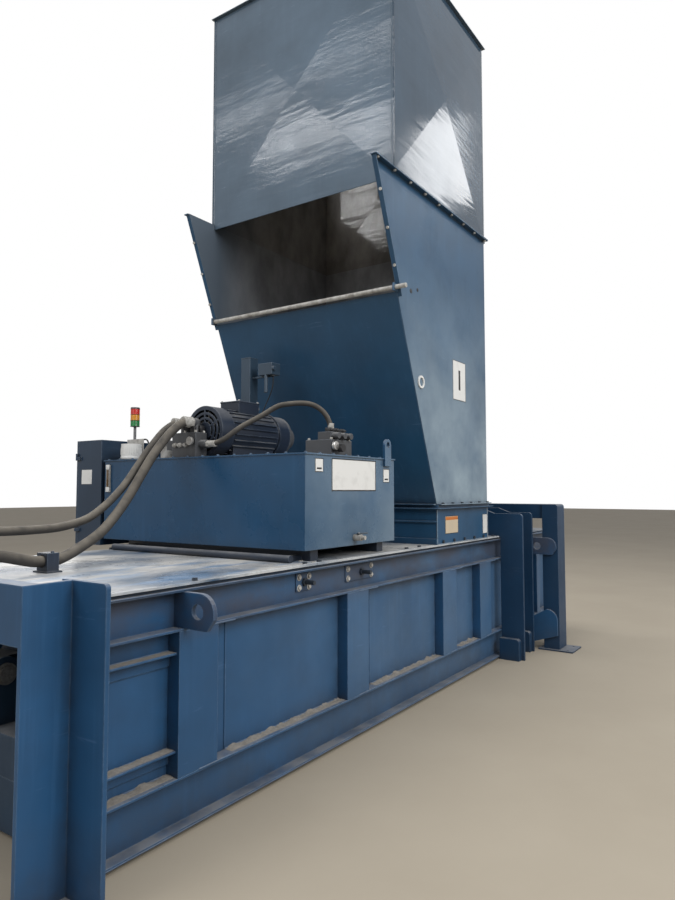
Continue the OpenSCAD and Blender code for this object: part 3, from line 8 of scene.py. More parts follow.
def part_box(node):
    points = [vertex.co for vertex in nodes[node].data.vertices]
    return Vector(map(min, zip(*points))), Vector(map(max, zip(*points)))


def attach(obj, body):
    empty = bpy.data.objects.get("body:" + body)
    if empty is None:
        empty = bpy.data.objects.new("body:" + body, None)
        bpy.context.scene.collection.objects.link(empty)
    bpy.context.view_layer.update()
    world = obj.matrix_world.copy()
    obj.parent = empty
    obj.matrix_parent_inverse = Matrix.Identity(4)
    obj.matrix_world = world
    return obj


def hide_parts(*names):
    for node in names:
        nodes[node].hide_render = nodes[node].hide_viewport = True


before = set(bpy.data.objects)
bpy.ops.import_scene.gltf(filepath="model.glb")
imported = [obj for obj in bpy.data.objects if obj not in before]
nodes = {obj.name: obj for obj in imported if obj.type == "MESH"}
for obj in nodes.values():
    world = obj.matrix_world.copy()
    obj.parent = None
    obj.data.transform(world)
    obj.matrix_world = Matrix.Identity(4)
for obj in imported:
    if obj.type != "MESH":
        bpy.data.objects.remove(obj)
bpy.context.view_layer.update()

# Camera: it stands at eye height off the machine's rear left corner.
# A station is the distance from the machine's rear face along the machine.
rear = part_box("rear_frame")[0].x


def spot(station, y, z):
    """Point of the row frame at a station."""
    return Vector((rear + station, y, z))


camera = bpy.data.objects.new("camera", bpy.data.cameras.new("camera"))
camera.location = spot(-1.5, -3.48, 1.6525)
camera.rotation_euler = (math.radians(93.45), 0, math.radians(-55.65))
camera.data.sensor_fit = "VERTICAL"
camera.data.sensor_height = 36
camera.data.lens = 27.04
camera.data.clip_end = 200
bpy.context.scene.collection.objects.link(camera)
bpy.context.scene.camera = camera
bpy.context.scene.view_settings.view_transform = "Standard"


# Floor, backdrop and lamps: a plain pale concrete floor, a white surround, large soft lamps, and four
# long thin ones for the streaks that the hood mirrors. None of it is part of the machine.
def put(tree, kind, settings=None, **inputs):
    """Adds a shader node. Inputs are sockets or values; i0, i1 and so on name an input by number."""
    made = tree.nodes.new("ShaderNode" + kind)
    for name, value in (settings or {}).items():
        setattr(made, name, value)
    for name, value in inputs.items():
        socket = made.inputs[int(name[1:]) if name[1:].isdigit() else name.replace("_", " ")]
        if isinstance(value, bpy.types.NodeSocket):
            tree.links.new(value, socket)
        else:
            socket.default_value = value
    return made


def cloud(tree, place, scale, detail, stretch=(1, 1, 1)):
    """Soft noise from 0 to 1, with its pattern stretched along the axes."""
    stretched = put(tree, "VectorMath", {"operation": "MULTIPLY"}, i0=place, i1=stretch).outputs[0]
    return put(tree, "TexNoise", Vector=stretched, Scale=scale, Detail=detail, Roughness=0.6).outputs[0]


def rise(tree, value, low, high, top=1.0):
    """Goes from 0 at low to top at high."""
    return put(tree, "MapRange", Value=value, From_Min=low, From_Max=high, To_Min=0, To_Max=top).outputs[0]


def times(tree, first, second):
    """Product of two values."""
    return put(tree, "Math", {"operation": "MULTIPLY"}, i0=first, i1=second).outputs[0]


def mixed(tree, share, first, second):
    """Colour that goes from the first to the second with the share."""
    return put(tree, "Mix", {"data_type": "RGBA"}, i0=share, i6=first, i7=second).outputs[2]


def shade(r, g, b):
    """Colour with its alpha."""
    return (r, g, b, 1)


def new_material(name):
    """Material with its node tree, its shader and its object coordinates."""
    material = bpy.data.materials.new(name)
    material.use_nodes = True
    tree = material.node_tree
    place = put(tree, "TexCoord").outputs["Object"]
    return material, tree, tree.nodes["Principled BSDF"], place


def concrete():
    """Pale floor with broad stains."""
    material, tree, shader, place = new_material("pale concrete")
    stain = cloud(tree, place, 0.7, 6)
    colour = mixed(tree, stain, shade(0.33, 0.285, 0.22), shade(0.41, 0.36, 0.285))
    tree.links.new(colour, shader.inputs["Base Color"])
    shader.inputs["Roughness"].default_value = 0.75
    shader.inputs["Specular IOR Level"].default_value = 0.25
    return material


floor_reach = 60
ground = bmesh.new()
bmesh.ops.create_grid(ground, x_segments=8, y_segments=8, size=floor_reach)
floor_mesh = bpy.data.meshes.new("floor")
ground.to_mesh(floor_mesh)
ground.free()
floor_mesh.materials.append(concrete())
floor = bpy.data.objects.new("floor", floor_mesh)
bpy.context.scene.collection.objects.link(floor)

# The surround lights the machine as a mid grey, is white to the camera and partly white in mirrors.
mirrored_white = 0.45
world = bpy.data.worlds.new("hall")
world.use_nodes = True
bpy.context.scene.world = world
sky = world.node_tree
sky_rays = put(sky, "LightPath")
seen = put(sky, "Math", {"operation": "MAXIMUM"}, i0=sky_rays.outputs["Is Camera Ray"],
           i1=sky_rays.outputs["Is Transmission Ray"]).outputs[0]
mirrored = put(sky, "Math", {"operation": "MAXIMUM"}, i0=seen,
               i1=times(sky, sky_rays.outputs["Is Glossy Ray"], mirrored_white)).outputs[0]
light = sky.nodes["Background"]
sky.links.new(mixed(sky, mirrored, shade(0.40, 0.41, 0.43), shade(1, 1, 1)), light.inputs["Color"])


def lamp(name, place, aim, size, power, width=None):
    """Soft lamp that faces a point and isn't seen itself."""
    made = bpy.data.objects.new(name, bpy.data.lights.new(name, "AREA"))
    made.data.shape = "RECTANGLE"
    made.data.size = width or size
    made.data.size_y = size
    made.data.energy = power
    made.location = place
    made.rotation_euler = (Vector(aim) - Vector(place)).to_track_quat("-Z", "Y").to_euler()
    made.visible_camera = False
    bpy.context.scene.collection.objects.link(made)


roof_z = 11
skylight_width = 0.24
skylights = ((-7.9, 5.5, 8, 55), (-10.3, 6.8, 5.6, 80), (-10.85, 6.8, 5.6, 60), (-11.5, 6.8, 5.6, 75))
lamp("near_side", (-2.5, -10, 7.5), (0.3, 0, 1.8), 7, 900)
lamp("overhead", (0, 0.5, 11.5), (0, 0, 0), 8, 620)
lamp("rear_left", (-11, 1.5, 7), (0, 0, 2.4), 5, 260)
lamp("far_side", (3, 10, 8), (0.3, 0, 1.8), 6, 420)
for number, (x, y, length, power) in enumerate(skylights):
    lamp(f"skylight_{number}", (x, y, roof_z), (x, y, 0), length, power, skylight_width)
lamp("hall_window", (11.75, -6.58, 10.6), (0.38, -0.97, 4.6), 2.3, 85)


# Hydraulic hoses: rubber hoses with spiral-ribbed covers, dusty on top. Two carry oil from the main
# valve down to the cylinder's pipes, and one runs from it over to the valve stack. Each ends in a
# crimped steel sleeve with a hexagon nut.
hoses = {
    "hose_base_end": (0.062, [
        (262, -36, 1322), (300, -36, 1322), (360, -34, 1320), (450, -28, 1309), (540, -18, 1288),
        (630, -4, 1267), (685, 0, 1262), (771, 0, 1262), (840, 10, 1277), (958, 40, 1318),
        (1124, 80, 1393), (1259, 112, 1495), (1376, 136, 1612), (1487, 152, 1752),
        (1595, 162, 1892), (1714, 170, 2020), (1810, 172, 2104), (1880, 172, 2142),
        (1930, 172, 2150), (1955, 172, 2150)]),
    "hose_rod_end": (0.050, [
        (262, 50, 1436), (320, 50, 1436), (420, 54, 1436), (520, 64, 1434), (671, 90, 1432),
        (883, 130, 1438), (1080, 170, 1474), (1200, 190, 1530), (1310, 208, 1604),
        (1418, 225, 1695), (1535, 245, 1822), (1645, 260, 1944), (1760, 270, 2060),
        (1830, 272, 2112), (1890, 272, 2143), (1930, 272, 2150), (1955, 272, 2150)]),
    "hose_stack": (0.038, [
        (1980, 35, 1990), (1980, -18, 1990), (1990, -70, 2001), (2008, -118, 2026),
        (2039, -163, 2067), (2084, -208, 2112), (2127, -251, 2147), (2193, -314, 2200),
        (2251, -400, 2260), (2302, -479, 2277), (2366, -540, 2283), (2405, -582, 2275),
        (2438, -621, 2252), (2466, -655, 2213), (2487, -678, 2161), (2495, -690, 2104),
        (2495, -690, 2054)]),
}
hose_sides = 24
rings_per_span = 6
ribs_per_metre = 125
sleeve_length = 0.085
nut_length = 0.026
crimp_pitch = 0.008


def at(s, y, z):
    """Point of the row frame from a station, a width and a height in millimetres."""
    return spot(s / 1000, y / 1000, z / 1000)


def smoothed(points, steps):
    """Catmull-Rom curve through the points."""
    ends = [points[0] * 2 - points[1]] + points + [points[-1] * 2 - points[-2]]
    path = []
    for i in range(1, len(ends) - 2):
        a, b, c, d = ends[i - 1:i + 3]
        for k in range(steps):
            t = k / steps
            path.append(0.5 * (2 * b + (c - a) * t + (2 * a - 5 * b + 4 * c - d) * t * t
                               + (3 * b - a - 3 * c + d) * t ** 3))
    return path + [points[-1]]


def circle(form, centre, side, across, radius, sides):
    """Vertices round a centre, in the plane of two directions."""
    return [form.verts.new(centre + (side * math.cos(2 * math.pi * k / sides)
                                     + across * math.sin(2 * math.pi * k / sides)) * radius)
            for k in range(sides)]


def swept(form, path, radius, sides):
    """Closed tube along a path. Its UV runs along the length in metres and once round."""
    uv = form.loops.layers.uv.get("along") or form.loops.layers.uv.new("along")
    heading = (path[1] - path[0]).normalized()
    side = heading.orthogonal().normalized()
    rings, reached, gone = [], [], 0.0
    for i, point in enumerate(path):
        ahead = (path[min(i + 1, len(path) - 1)] - path[max(i - 1, 0)]).normalized()
        side = (side - ahead * side.dot(ahead)).normalized()
        reach = radius(i) if callable(radius) else radius
        rings.append(circle(form, point, side, ahead.cross(side), reach, sides))
        gone += (point - path[i - 1]).length if i else 0
        reached.append(gone)
    for i in range(len(rings) - 1):
        for k in range(sides):
            j = (k + 1) % sides
            face = form.faces.new((rings[i][k], rings[i][j], rings[i + 1][j], rings[i + 1][k]))
            for loop, (u, v) in zip(face.loops, ((k, i), (k + 1, i), (k + 1, i + 1), (k, i + 1))):
                loop[uv].uv = (u / sides, reached[v])
    form.faces.new(reversed(rings[0]))
    form.faces.new(rings[-1])


def turned(form, place, direction, profile, sides=24):
    """Turned part on an axis: the profile gives (distance along, radius) and closes at both ends."""
    direction = Vector(direction).normalized()
    side = direction.orthogonal().normalized()
    across = direction.cross(side)
    rings = [circle(form, place + direction * along, side, across, r, sides) for along, r in profile]
    for low, high in zip(rings, rings[1:]):
        for k in range(sides):
            j = (k + 1) % sides
            form.faces.new((low[k], low[j], high[j], high[k]))
    form.faces.new(reversed(rings[0]))
    form.faces.new(rings[-1])


def piece(name, form, material, body="frame", sharp=35):
    """Makes a finished form into a piece that rides on a body."""
    mesh = bpy.data.meshes.new(name)
    bmesh.ops.recalc_face_normals(form, faces=form.faces)
    form.to_mesh(mesh)
    form.free()
    mesh.materials.append(material)
    mesh.shade_smooth()
    mesh.set_sharp_from_angle(angle=math.radians(sharp))
    made = bpy.data.objects.new(name, mesh)
    bpy.context.scene.collection.objects.link(made)
    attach(made, body)
    return made


def patches(tree, place, scale, detail, low, high, top=1.0, stretch=(1, 1, 1)):
    """Soft noise cut into patches: 0 where it is below low, top where it is above high."""
    return rise(tree, cloud(tree, place, scale, detail, stretch), low, high, top)


def upward(tree):
    """How far a face looks up, from -1 to 1."""
    return put(tree, "SeparateXYZ", i0=put(tree, "NewGeometry").outputs["Normal"]).outputs[2]


def openness(tree, distance):
    """1 in the open, and less in corners that are narrower than the distance."""
    return put(tree, "AmbientOcclusion", {"samples": 3}, Distance=distance).outputs[1]


def roughen(tree, shader, strength, distance, height):
    """Fine relief on a surface."""
    bump = put(tree, "Bump", Strength=strength, Distance=distance, Height=height)
    tree.links.new(bump.outputs[0], shader.inputs["Normal"])


def dusty_rubber():
    """Black rubber with a rib wound round it along its UV, and brown dust on top."""
    material, tree, shader, place = new_material("dusty hose rubber")
    around = put(tree, "SeparateXYZ", i0=put(tree, "UVMap").outputs[0])
    turns = put(tree, "Math", {"operation": "MULTIPLY_ADD"}, i0=around.outputs[1], i1=ribs_per_metre,
                i2=around.outputs[0]).outputs[0]
    rib = put(tree, "Math", {"operation": "PINGPONG"}, i0=turns, i1=0.5).outputs[0]
    cover = mixed(tree, cloud(tree, place, 14, 6), shade(0.016, 0.015, 0.014), shade(0.050, 0.044, 0.038))
    dust = times(tree, rise(tree, upward(tree), -0.35, 0.85), patches(tree, place, 9, 7, 0.28, 0.60, 0.85))
    colour = mixed(tree, dust, cover, shade(0.165, 0.145, 0.115))
    colour = mixed(tree, rise(tree, rib, 0.40, 0.5, 0.25), colour, shade(0.05, 0.045, 0.04))
    tree.links.new(colour, shader.inputs["Base Color"])
    shader.inputs["Roughness"].default_value = 0.72
    grain = times(tree, cloud(tree, place, 160, 4), 0.8)
    height = put(tree, "Math", {"operation": "ADD"}, i0=rib, i1=grain).outputs[0]
    roughen(tree, shader, 0.35, 0.0012, height)
    return material


def plated_steel(name="zinc plated steel", light=shade(0.52, 0.51, 0.48)):
    """Plating gone dull: stained, with painted shade in its corners, and dusty on top."""
    material, tree, shader, place = new_material(name)
    stain = patches(tree, place, 18, 7, 0.38, 0.68)
    # Painted shade: darker in narrow corners.
    corner = rise(tree, openness(tree, 0.03), 0.85, 0.25, 0.75)
    colour = mixed(tree, stain, light, shade(0.22, 0.205, 0.18))
    colour = mixed(tree, corner, colour, shade(0.03, 0.026, 0.022))
    dust = times(tree, rise(tree, upward(tree), 0.3, 0.95), patches(tree, place, 30, 6, 0.3, 0.6, 0.55))
    tree.links.new(mixed(tree, dust, colour, shade(0.34, 0.32, 0.29)), shader.inputs["Base Color"])
    tree.links.new(rise(tree, stain, -1.3, 1.2, 0.672), shader.inputs["Roughness"])
    roughen(tree, shader, 0.2, 0.0006, cloud(tree, place, 260, 4))
    return material


rubber = dusty_rubber()
zinc = plated_steel()
for name, (bore, stops) in hoses.items():
    path = smoothed([at(*stop) for stop in stops], rings_per_span)
    form = bmesh.new()
    swept(form, path, bore / 2, hose_sides)
    hose = piece(name + "_tube", form, rubber)
    form = bmesh.new()
    reach = bore / 2
    sleeve = [(nut_length + 0.002, reach * 1.12), (nut_length + 0.004, reach * 1.24)]
    for k in range(6):
        low = nut_length + crimp_pitch + k * crimp_pitch
        sleeve += [(low, reach * 1.24), (low + 0.0015, reach * 1.17), (low + 0.005, reach * 1.17),
                   (low + 0.0065, reach * 1.24)]
    sleeve += [(sleeve_length - 0.004, reach * 1.22), (sleeve_length, reach * 1.08)]
    nut = [(-0.002, reach * 1.20), (0, reach * 1.34), (nut_length - 0.003, reach * 1.34),
           (nut_length, reach * 1.2)]
    for start, ahead in ((path[0], path[1] - path[0]), (path[-1], path[-2] - path[-1])):
        turned(form, start, ahead, sleeve)
        turned(form, start, ahead, nut, 6)
    ends = piece(name + "_ends", form, zinc, sharp=28)
    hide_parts(name)


# Welded frame: rear posts, rails, walls, stiffener posts, ties and lugs, cut from plate and channel
# and sprayed in one blue. Years of use left run marks, grey dust and scuffed edges. The ties, the exit
# frame and the parts inside get darker copies of the blue as painted shade.
def dress(material, *names):
    """Gives CAD nodes a finish."""
    for name in names:
        for slot in nodes[name].material_slots:
            slot.material = material


def unsigned(tree, value):
    """Value without its sign."""
    return put(tree, "Math", {"operation": "ABSOLUTE"}, i0=value).outputs[0]


def dot_product(tree, first, second):
    """How far two directions agree."""
    return put(tree, "VectorMath", {"operation": "DOT_PRODUCT"}, i0=first, i1=second).outputs["Value"]


def toned(colour, gain, lift=(0, 0, 0)):
    """Colour made darker or lighter, then lifted by another."""
    return shade(*(c * gain + k for c, k in zip(colour, lift)))


shaft_middle = (0.70, 0, 0)


def worn_paint(name, colour, runs=0.3, stain=0.4, worn=0.6, gloss=0.40, inner=None, low_darkening=0.0,
               foot_dust_and_reflection=0.0, rail_grime=0.0, waves=0.0):
    """Sprayed paint in use: cloudy colour, run marks, dirt and painted shade in corners, dust on level
    faces and pale edges. inner is the grimy colour of faces turned towards the shaft's middle, which
    darkens towards the machine's rear as painted shade; haze the pale film of dust and painted reflection
    on a side's foot, low_darkening how much darker the paint gets near the floor, rail_grime the grime on
    the top rails and waves the sheet's unevenness."""
    material, tree, shader, place = new_material(name)
    face = put(tree, "NewGeometry").outputs["Normal"]
    turn = put(tree, "SeparateXYZ", i0=face)
    parts = put(tree, "SeparateXYZ", i0=place)
    along, height = parts.outputs[0], parts.outputs[2]
    coat = mixed(tree, patches(tree, place, 1.1, 4, 0.3, 0.7), toned(colour, 0.78), toned(colour, 1.24))
    blotch = patches(tree, place, 2.6, 8, 0.47, 0.72, stain)
    coat = mixed(tree, blotch, coat, toned(colour, 0.62, (0.010, 0.012, 0.018)))
    wide = patches(tree, place, 1.9, 3, 0.35, 0.65)
    run = times(tree, patches(tree, place, 24, 4, 0.53, 0.72, runs, (1, 1, 0.045)), wide)
    coat = mixed(tree, run, coat, toned(colour, 1.4, (0.018, 0.028, 0.040)))
    scuff = patches(tree, place, 34, 3, 0.66, 0.74, 0.35, (0.12, 0.12, 1))
    coat = mixed(tree, times(tree, scuff, wide), coat, toned(colour, 1.6, (0.07, 0.07, 0.07)))
    # Pale film on the foot of side faces: dust, and partly a painted reflection.
    if foot_dust_and_reflection:
        sideways = rise(tree, unsigned(tree, turn.outputs[1]), 0.6, 0.95)
        foot = times(tree, rise(tree, height, 3.6, 1.7, foot_dust_and_reflection), sideways)
        foot = times(tree, foot, rise(tree, along, -2.8, -0.6))
        foot = times(tree, foot, patches(tree, place, 1.4, 7, 0.2, 0.62))
        coat = mixed(tree, foot, coat, shade(0.27, 0.35, 0.41))
    # The paint gets darker towards the floor.
    if low_darkening:
        foot = rise(tree, height, 0.40, 0.04, low_darkening)
        foot = times(tree, foot, patches(tree, place, 5, 7, 0.2, 0.6))
        coat = mixed(tree, foot, coat, shade(0.045, 0.052, 0.062))
    if rail_grime:
        belt = times(tree, rise(tree, height, 0.90, 1.02, rail_grime),
                     patches(tree, place, 4.0, 8, 0.30, 0.58, stretch=(0.5, 1, 1)))
        belt = times(tree, belt, rise(tree, along, -3.22, -3.18))
        coat = mixed(tree, belt, coat, shade(0.058, 0.060, 0.078))
    open_air = openness(tree, 0.10)
    # Painted shade: the paint darkens in narrow corners, in patches that also stand for dirt.
    corner = times(tree, rise(tree, open_air, 0.80, 0.30, 0.75), patches(tree, place, 12, 6, 0.2, 0.6))
    coat = mixed(tree, corner, coat, shade(0.020, 0.021, 0.026))
    soft = put(tree, "Bevel", {"samples": 3}, Radius=0.008).outputs[0]
    edge = rise(tree, dot_product(tree, soft, face), 0.995, 0.92, worn)
    edge = times(tree, edge, rise(tree, open_air, 0.45, 0.75))
    edge = times(tree, edge, patches(tree, place, 9, 6, 0.30, 0.55))
    coat = mixed(tree, edge, coat, toned(colour, 1.3, (0.15, 0.19, 0.23)))
    if inner:
        middle = put(tree, "VectorMath", {"operation": "SUBTRACT"}, i0=shaft_middle, i1=place).outputs[0]
        level = put(tree, "VectorMath", {"operation": "MULTIPLY"}, i0=middle, i1=(1, 1, 0)).outputs[0]
        inside = rise(tree, dot_product(tree, level, face), 0.15, 0.3)
        inside_grime_and_shade = mixed(tree, patches(tree, place, 3.2, 8, 0.38, 0.66, stretch=(1, 1, 0.5)),
                      toned(inner, 0.7), toned(inner, 1.35))
        # Painted shade: inside faces darken towards the machine's rear.
        inside_grime_and_shade = mixed(tree, rise(tree, along, -0.45, 0.35), shade(0.085, 0.110, 0.140), inside_grime_and_shade)
        coat = mixed(tree, inside, coat, inside_grime_and_shade)
    film = rise(tree, turn.outputs[2], 0.35, 0.95)
    film = times(tree, film, patches(tree, place, 6, 8, 0.22, 0.60, 0.5))
    coat = mixed(tree, film, coat, shade(0.34, 0.33, 0.315))
    tree.links.new(coat, shader.inputs["Base Color"])
    rough = put(tree, "Math", {"operation": "MULTIPLY_ADD"}, i0=blotch, i1=0.35, i2=gloss).outputs[0]
    rough = put(tree, "Math", {"operation": "MULTIPLY_ADD"}, i0=film, i1=0.4, i2=rough).outputs[0]
    tree.links.new(rough, shader.inputs["Roughness"])
    peel = cloud(tree, place, 190, 3)
    relief = put(tree, "Bump", Strength=0.10, Distance=0.0010, Height=peel, Normal=soft).outputs[0]
    if waves:
        swell = cloud(tree, place, 2.6, 2, (0.6, 0.6, 3.5))
        relief = put(tree, "Bump", Strength=waves, Distance=0.02, Height=swell, Normal=relief).outputs[0]
    tree.links.new(relief, shader.inputs["Normal"])
    return material


frame_blue = worn_paint("frame blue", (0.018, 0.076, 0.175), low_darkening=0.5, foot_dust_and_reflection=0.16, rail_grime=0.75)
# The ties and exit frame get a darker copy of the frame blue as painted shade.
far_painted_shade_blue = worn_paint("frame blue with painted shade", (0.010, 0.038, 0.086), runs=0.15)
for blue in (frame_blue, far_painted_shade_blue):
    blue.node_tree.nodes["Principled BSDF"].inputs["Specular IOR Level"].default_value = 0.35
dress(frame_blue, "rear_frame", "side_walls", "top_rails", "bottom_rails", "side_stiffeners",
      "lifting_lugs")
dress(far_painted_shade_blue, "tie_frames", "exit_frame")
# Parts inside the machine get a darker copy of the frame blue as painted shade.
inside_painted_shade_blue = worn_paint("inside frame blue with painted shade", (0.012, 0.034, 0.066), stain=0.7, gloss=0.55)
dress(inside_painted_shade_blue, "cylinder_beam", "cross_members", "roof_plates", "tension_flap")


# Fillet welds: rippled steel beads, laid by hand where the posts, ledges, rails and walls meet, and
# sprayed over with the frame.
bead_pitch = 0.010


def bead(form, start, end, size=0.007):
    """Rippled weld bead between two points."""
    count = max(4, int((end - start).length / bead_pitch))
    path = [start.lerp(end, i / count) for i in range(count + 1)]
    ripple = [0.45 if i in (0, count) else 0.86 + 0.14 * abs(math.sin(i * 1.9)) for i in range(count + 1)]
    swept(form, path, lambda i: size * ripple[i], 6)


wall_y, post_y, rail_y = 900, 979, 980
rail_ledges = (279, 972)
post_starts = (939, 2410, 3860, 4655)
post_width = 265
bays = ((1204, 2410), (2675, 3860), (4125, 4655), (242, 939))
welds = bmesh.new()
for side in (-1, 1):
    for start in post_starts:
        for edge in (start, start + post_width):
            bead(welds, at(edge, side * wall_y, 281), at(edge, side * wall_y, 970))
        for z in rail_ledges:
            bead(welds, at(start + 4, side * post_y, z), at(start + post_width - 4, side * post_y, z),
                 0.005)
    for low, high in bays:
        for z in rail_ledges:
            bead(welds, at(low, side * wall_y, z), at(high, side * wall_y, z))
    for z in (795, 870, 333, 405):
        bead(welds, at(244, side * wall_y, z), at(937, side * wall_y, z), 0.005)
    bead(welds, at(220, side * 952, 20), at(220, side * 952, 1276))
    for low, high in ((30, 276), (975, 1170)):
        bead(welds, at(242, side * 982, low), at(242, side * 982, high))
    for z in (27, 1170):
        bead(welds, at(246, side * rail_y, z), at(4980, side * rail_y, z), 0.004)
piece("frame_welds", welds, frame_blue)


# Dust drifts: grey-brown dust and grit that has settled in lumps along the ledges. It lies loose
# against the walls and thins out towards each ledge's open edge.
def grit():
    """Dust and grit, coarse and without a shine."""
    material, tree, shader, place = new_material("settled dust")
    tone = mixed(tree, cloud(tree, place, 55, 8), shade(0.15, 0.135, 0.115), shade(0.38, 0.35, 0.31))
    tree.links.new(tone, shader.inputs["Base Color"])
    shader.inputs["Roughness"].default_value = 0.95
    shader.inputs["Specular IOR Level"].default_value = 0.1
    roughen(tree, shader, 0.7, 0.004, cloud(tree, place, 140, 6))
    return material


def drift(form, low, high, side, depth, z, height):
    """Lumpy strip of dust on a ledge of the wall, from one station to another, in millimetres."""
    count, rows = int((high - low) / 11), 4
    grid = []
    for i in range(count + 1):
        s = low + (high - low) * i / count
        line = []
        for k in range(rows + 1):
            y = side * (wall_y + depth * k / rows)
            broad = noise.noise(Vector((s * 0.013, y * 0.02, z)))
            fine = noise.noise(Vector((s * 0.06, y * 0.05, z)))
            lump = broad + 0.5 * fine
            fall = 1 - k / rows
            top = height * max(0.03, lump * 0.75 + 0.22) * fall * (0 if i in (0, count) else 1) + 0.4
            line.append(form.verts.new(at(s, y, z + top)))
        grid.append(line)
    base = [[form.verts.new(at(low + (high - low) * i / count, side * (wall_y + depth * k / rows), z))
             for k in (0, rows)] for i in range(count + 1)]
    for i in range(count):
        for k in range(rows):
            form.faces.new((grid[i][k], grid[i + 1][k], grid[i + 1][k + 1], grid[i][k + 1]))
        form.faces.new((base[i][0], base[i][1], base[i + 1][1], base[i + 1][0]))
        form.faces.new((grid[i][0], base[i][0], base[i + 1][0], grid[i + 1][0]))
        form.faces.new((grid[i][rows], grid[i + 1][rows], base[i + 1][1], base[i][1]))
    for i, order in ((0, 1), (count, -1)):
        form.faces.new(([grid[i][k] for k in range(rows + 1)] + [base[i][1], base[i][0]])[::order])


# Each dusty ledge has its two stations, its depth, its height above the floor and its dust's height.
dusty_ledges = ((1206, 2408, 56, 279, 21), (2677, 3858, 56, 279, 21), (4127, 4653, 56, 279, 21),
                (244, 937, 50, 870, 5), (244, 937, 50, 405, 12), (244, 937, 56, 279, 18))
drifts = bmesh.new()
for side in (-1, 1):
    for low, high, depth, z, height in dusty_ledges:
        drift(drifts, low, high, side, depth, z, height)
piece("dust_drifts", drifts, grit())


# Guide-pin plates: flat steel plates with rounded edges that lie round the guide pins. Each is bolted
# to the top rail's web at its four corners.
def slab(form, low, high, round_off=0.002):
    """Block between two corners with rounded edges."""
    made = bmesh.ops.create_cube(form, size=1)["verts"]
    corners = [[min(a, b) for a, b in zip(low, high)], [max(a, b) for a, b in zip(low, high)]]
    for vert in made:
        vert.co = Vector([corners[vert.co[k] > 0][k] for k in range(3)])
    edges = dict.fromkeys(edge for vert in made for edge in vert.link_edges)
    bmesh.ops.bevel(form, geom=list(edges), offset=round_off, segments=2, profile=0.5, affect="EDGES",
                    clamp_overlap=True)


def bolt(form, place, direction, across, height):
    """Washer and hexagon head with a chamfered top."""
    r = across / math.sqrt(3)
    washer = [(0, across * 0.86), (across * 0.07, across * 0.88), (across * 0.12, across * 0.82)]
    turned(form, place, direction, washer, 20)
    turned(form, place, direction, [(across * 0.1, r), (height * 0.82, r), (height, r * 0.86)], 6)


web_y, plate_y = 912, 920
plates, screws = bmesh.new(), bmesh.new()
for side in (-1, 1):
    for start, end in ((1800, 1956), (2344, 2699)):
        slab(plates, at(start, side * web_y, 1034), at(end, side * plate_y, 1147), 0.0035)
        for s in (start + 28, end - 28):
            for z in (1120, 1056):
                bolt(screws, at(s, side * plate_y, z), (0, side, 0), 0.024, 0.012)
piece("guide_pin_plates", plates, frame_blue)
piece("guide_pin_screws", screws, zinc)


# Deck: rolled plates laid over the rails in lengths, walked on, smeared and thick with grey dust.
# A bright strip runs along the near edge, with cover strips and screws at the joints.
def deck_finish():
    """Blue paint under grey dust, smeared near the camera, scraped, and pale along both edges."""
    material, tree, shader, place = new_material("dusty deck paint")
    parts = put(tree, "SeparateXYZ", i0=place)
    along, across = parts.outputs[0], parts.outputs[1]
    paint = mixed(tree, cloud(tree, place, 2.2, 8), shade(0.022, 0.060, 0.120), shade(0.050, 0.10, 0.17))
    grey = mixed(tree, cloud(tree, place, 7, 8), shade(0.42, 0.415, 0.40), shade(0.74, 0.70, 0.63))
    cover = times(tree, rise(tree, upward(tree), 0.5, 0.95),
                  patches(tree, place, 1.6, 9, 0.30, 0.56, 0.93, (0.6, 1, 1)))
    coat = mixed(tree, cover, paint, grey)
    near = times(tree, rise(tree, across, 0.25, -0.55), rise(tree, along, -1.1, -2.0))
    smear = times(tree, near, patches(tree, place, 3.4, 9, 0.46, 0.60, 0.9, (0.55, 1.6, 1)))
    tinted = mixed(tree, cloud(tree, place, 11, 6, (0.4, 1, 1)), shade(0.055, 0.15, 0.30),
                   shade(0.30, 0.38, 0.48))
    coat = mixed(tree, smear, coat, tinted)
    scrape = patches(tree, place, 60, 5, 0.62, 0.74, 0.5, (0.06, 1, 1))
    coat = mixed(tree, scrape, coat, shade(0.50, 0.49, 0.46))
    rim = times(tree, rise(tree, unsigned(tree, across), 0.925, 0.962),
                patches(tree, place, 9, 7, 0.32, 0.56, 0.9, (0.3, 1, 1)))
    coat = mixed(tree, rim, coat, shade(0.55, 0.56, 0.56))
    tree.links.new(coat, shader.inputs["Base Color"])
    tree.links.new(patches(tree, place, 2.8, 7, 0.2, 0.8, 0.62), shader.inputs["Roughness"])
    roughen(tree, shader, 0.25, 0.002, cloud(tree, place, 45, 6))
    return material


deck_paint = deck_finish()
dress(deck_paint, "deck_plates")
deck_top = 1200
strips, screws = bmesh.new(), bmesh.new()
slab(strips, at(1925, -962, deck_top), at(1975, -620, deck_top + 4.5))
slab(strips, at(1150, -966, deck_top), at(3600, -950, deck_top + 3), 0.001)
for side in (-1, 1):
    slab(strips, at(262, side * 966, deck_top), at(330, side * 902, deck_top + 8), 0.002)
for s in (1938, 1962):
    for y in (-940, -840, -740, -650):
        bolt(screws, at(s, y, deck_top + 4), (0, 0, 1), 0.013, 0.006)
for s in (282, 310):
    for side in (-1, 1):
        bolt(screws, at(s, side * 934, deck_top + 8), (0, 0, 1), 0.018, 0.010)
piece("deck_strips", strips, deck_paint)
piece("deck_screws", screws, zinc)


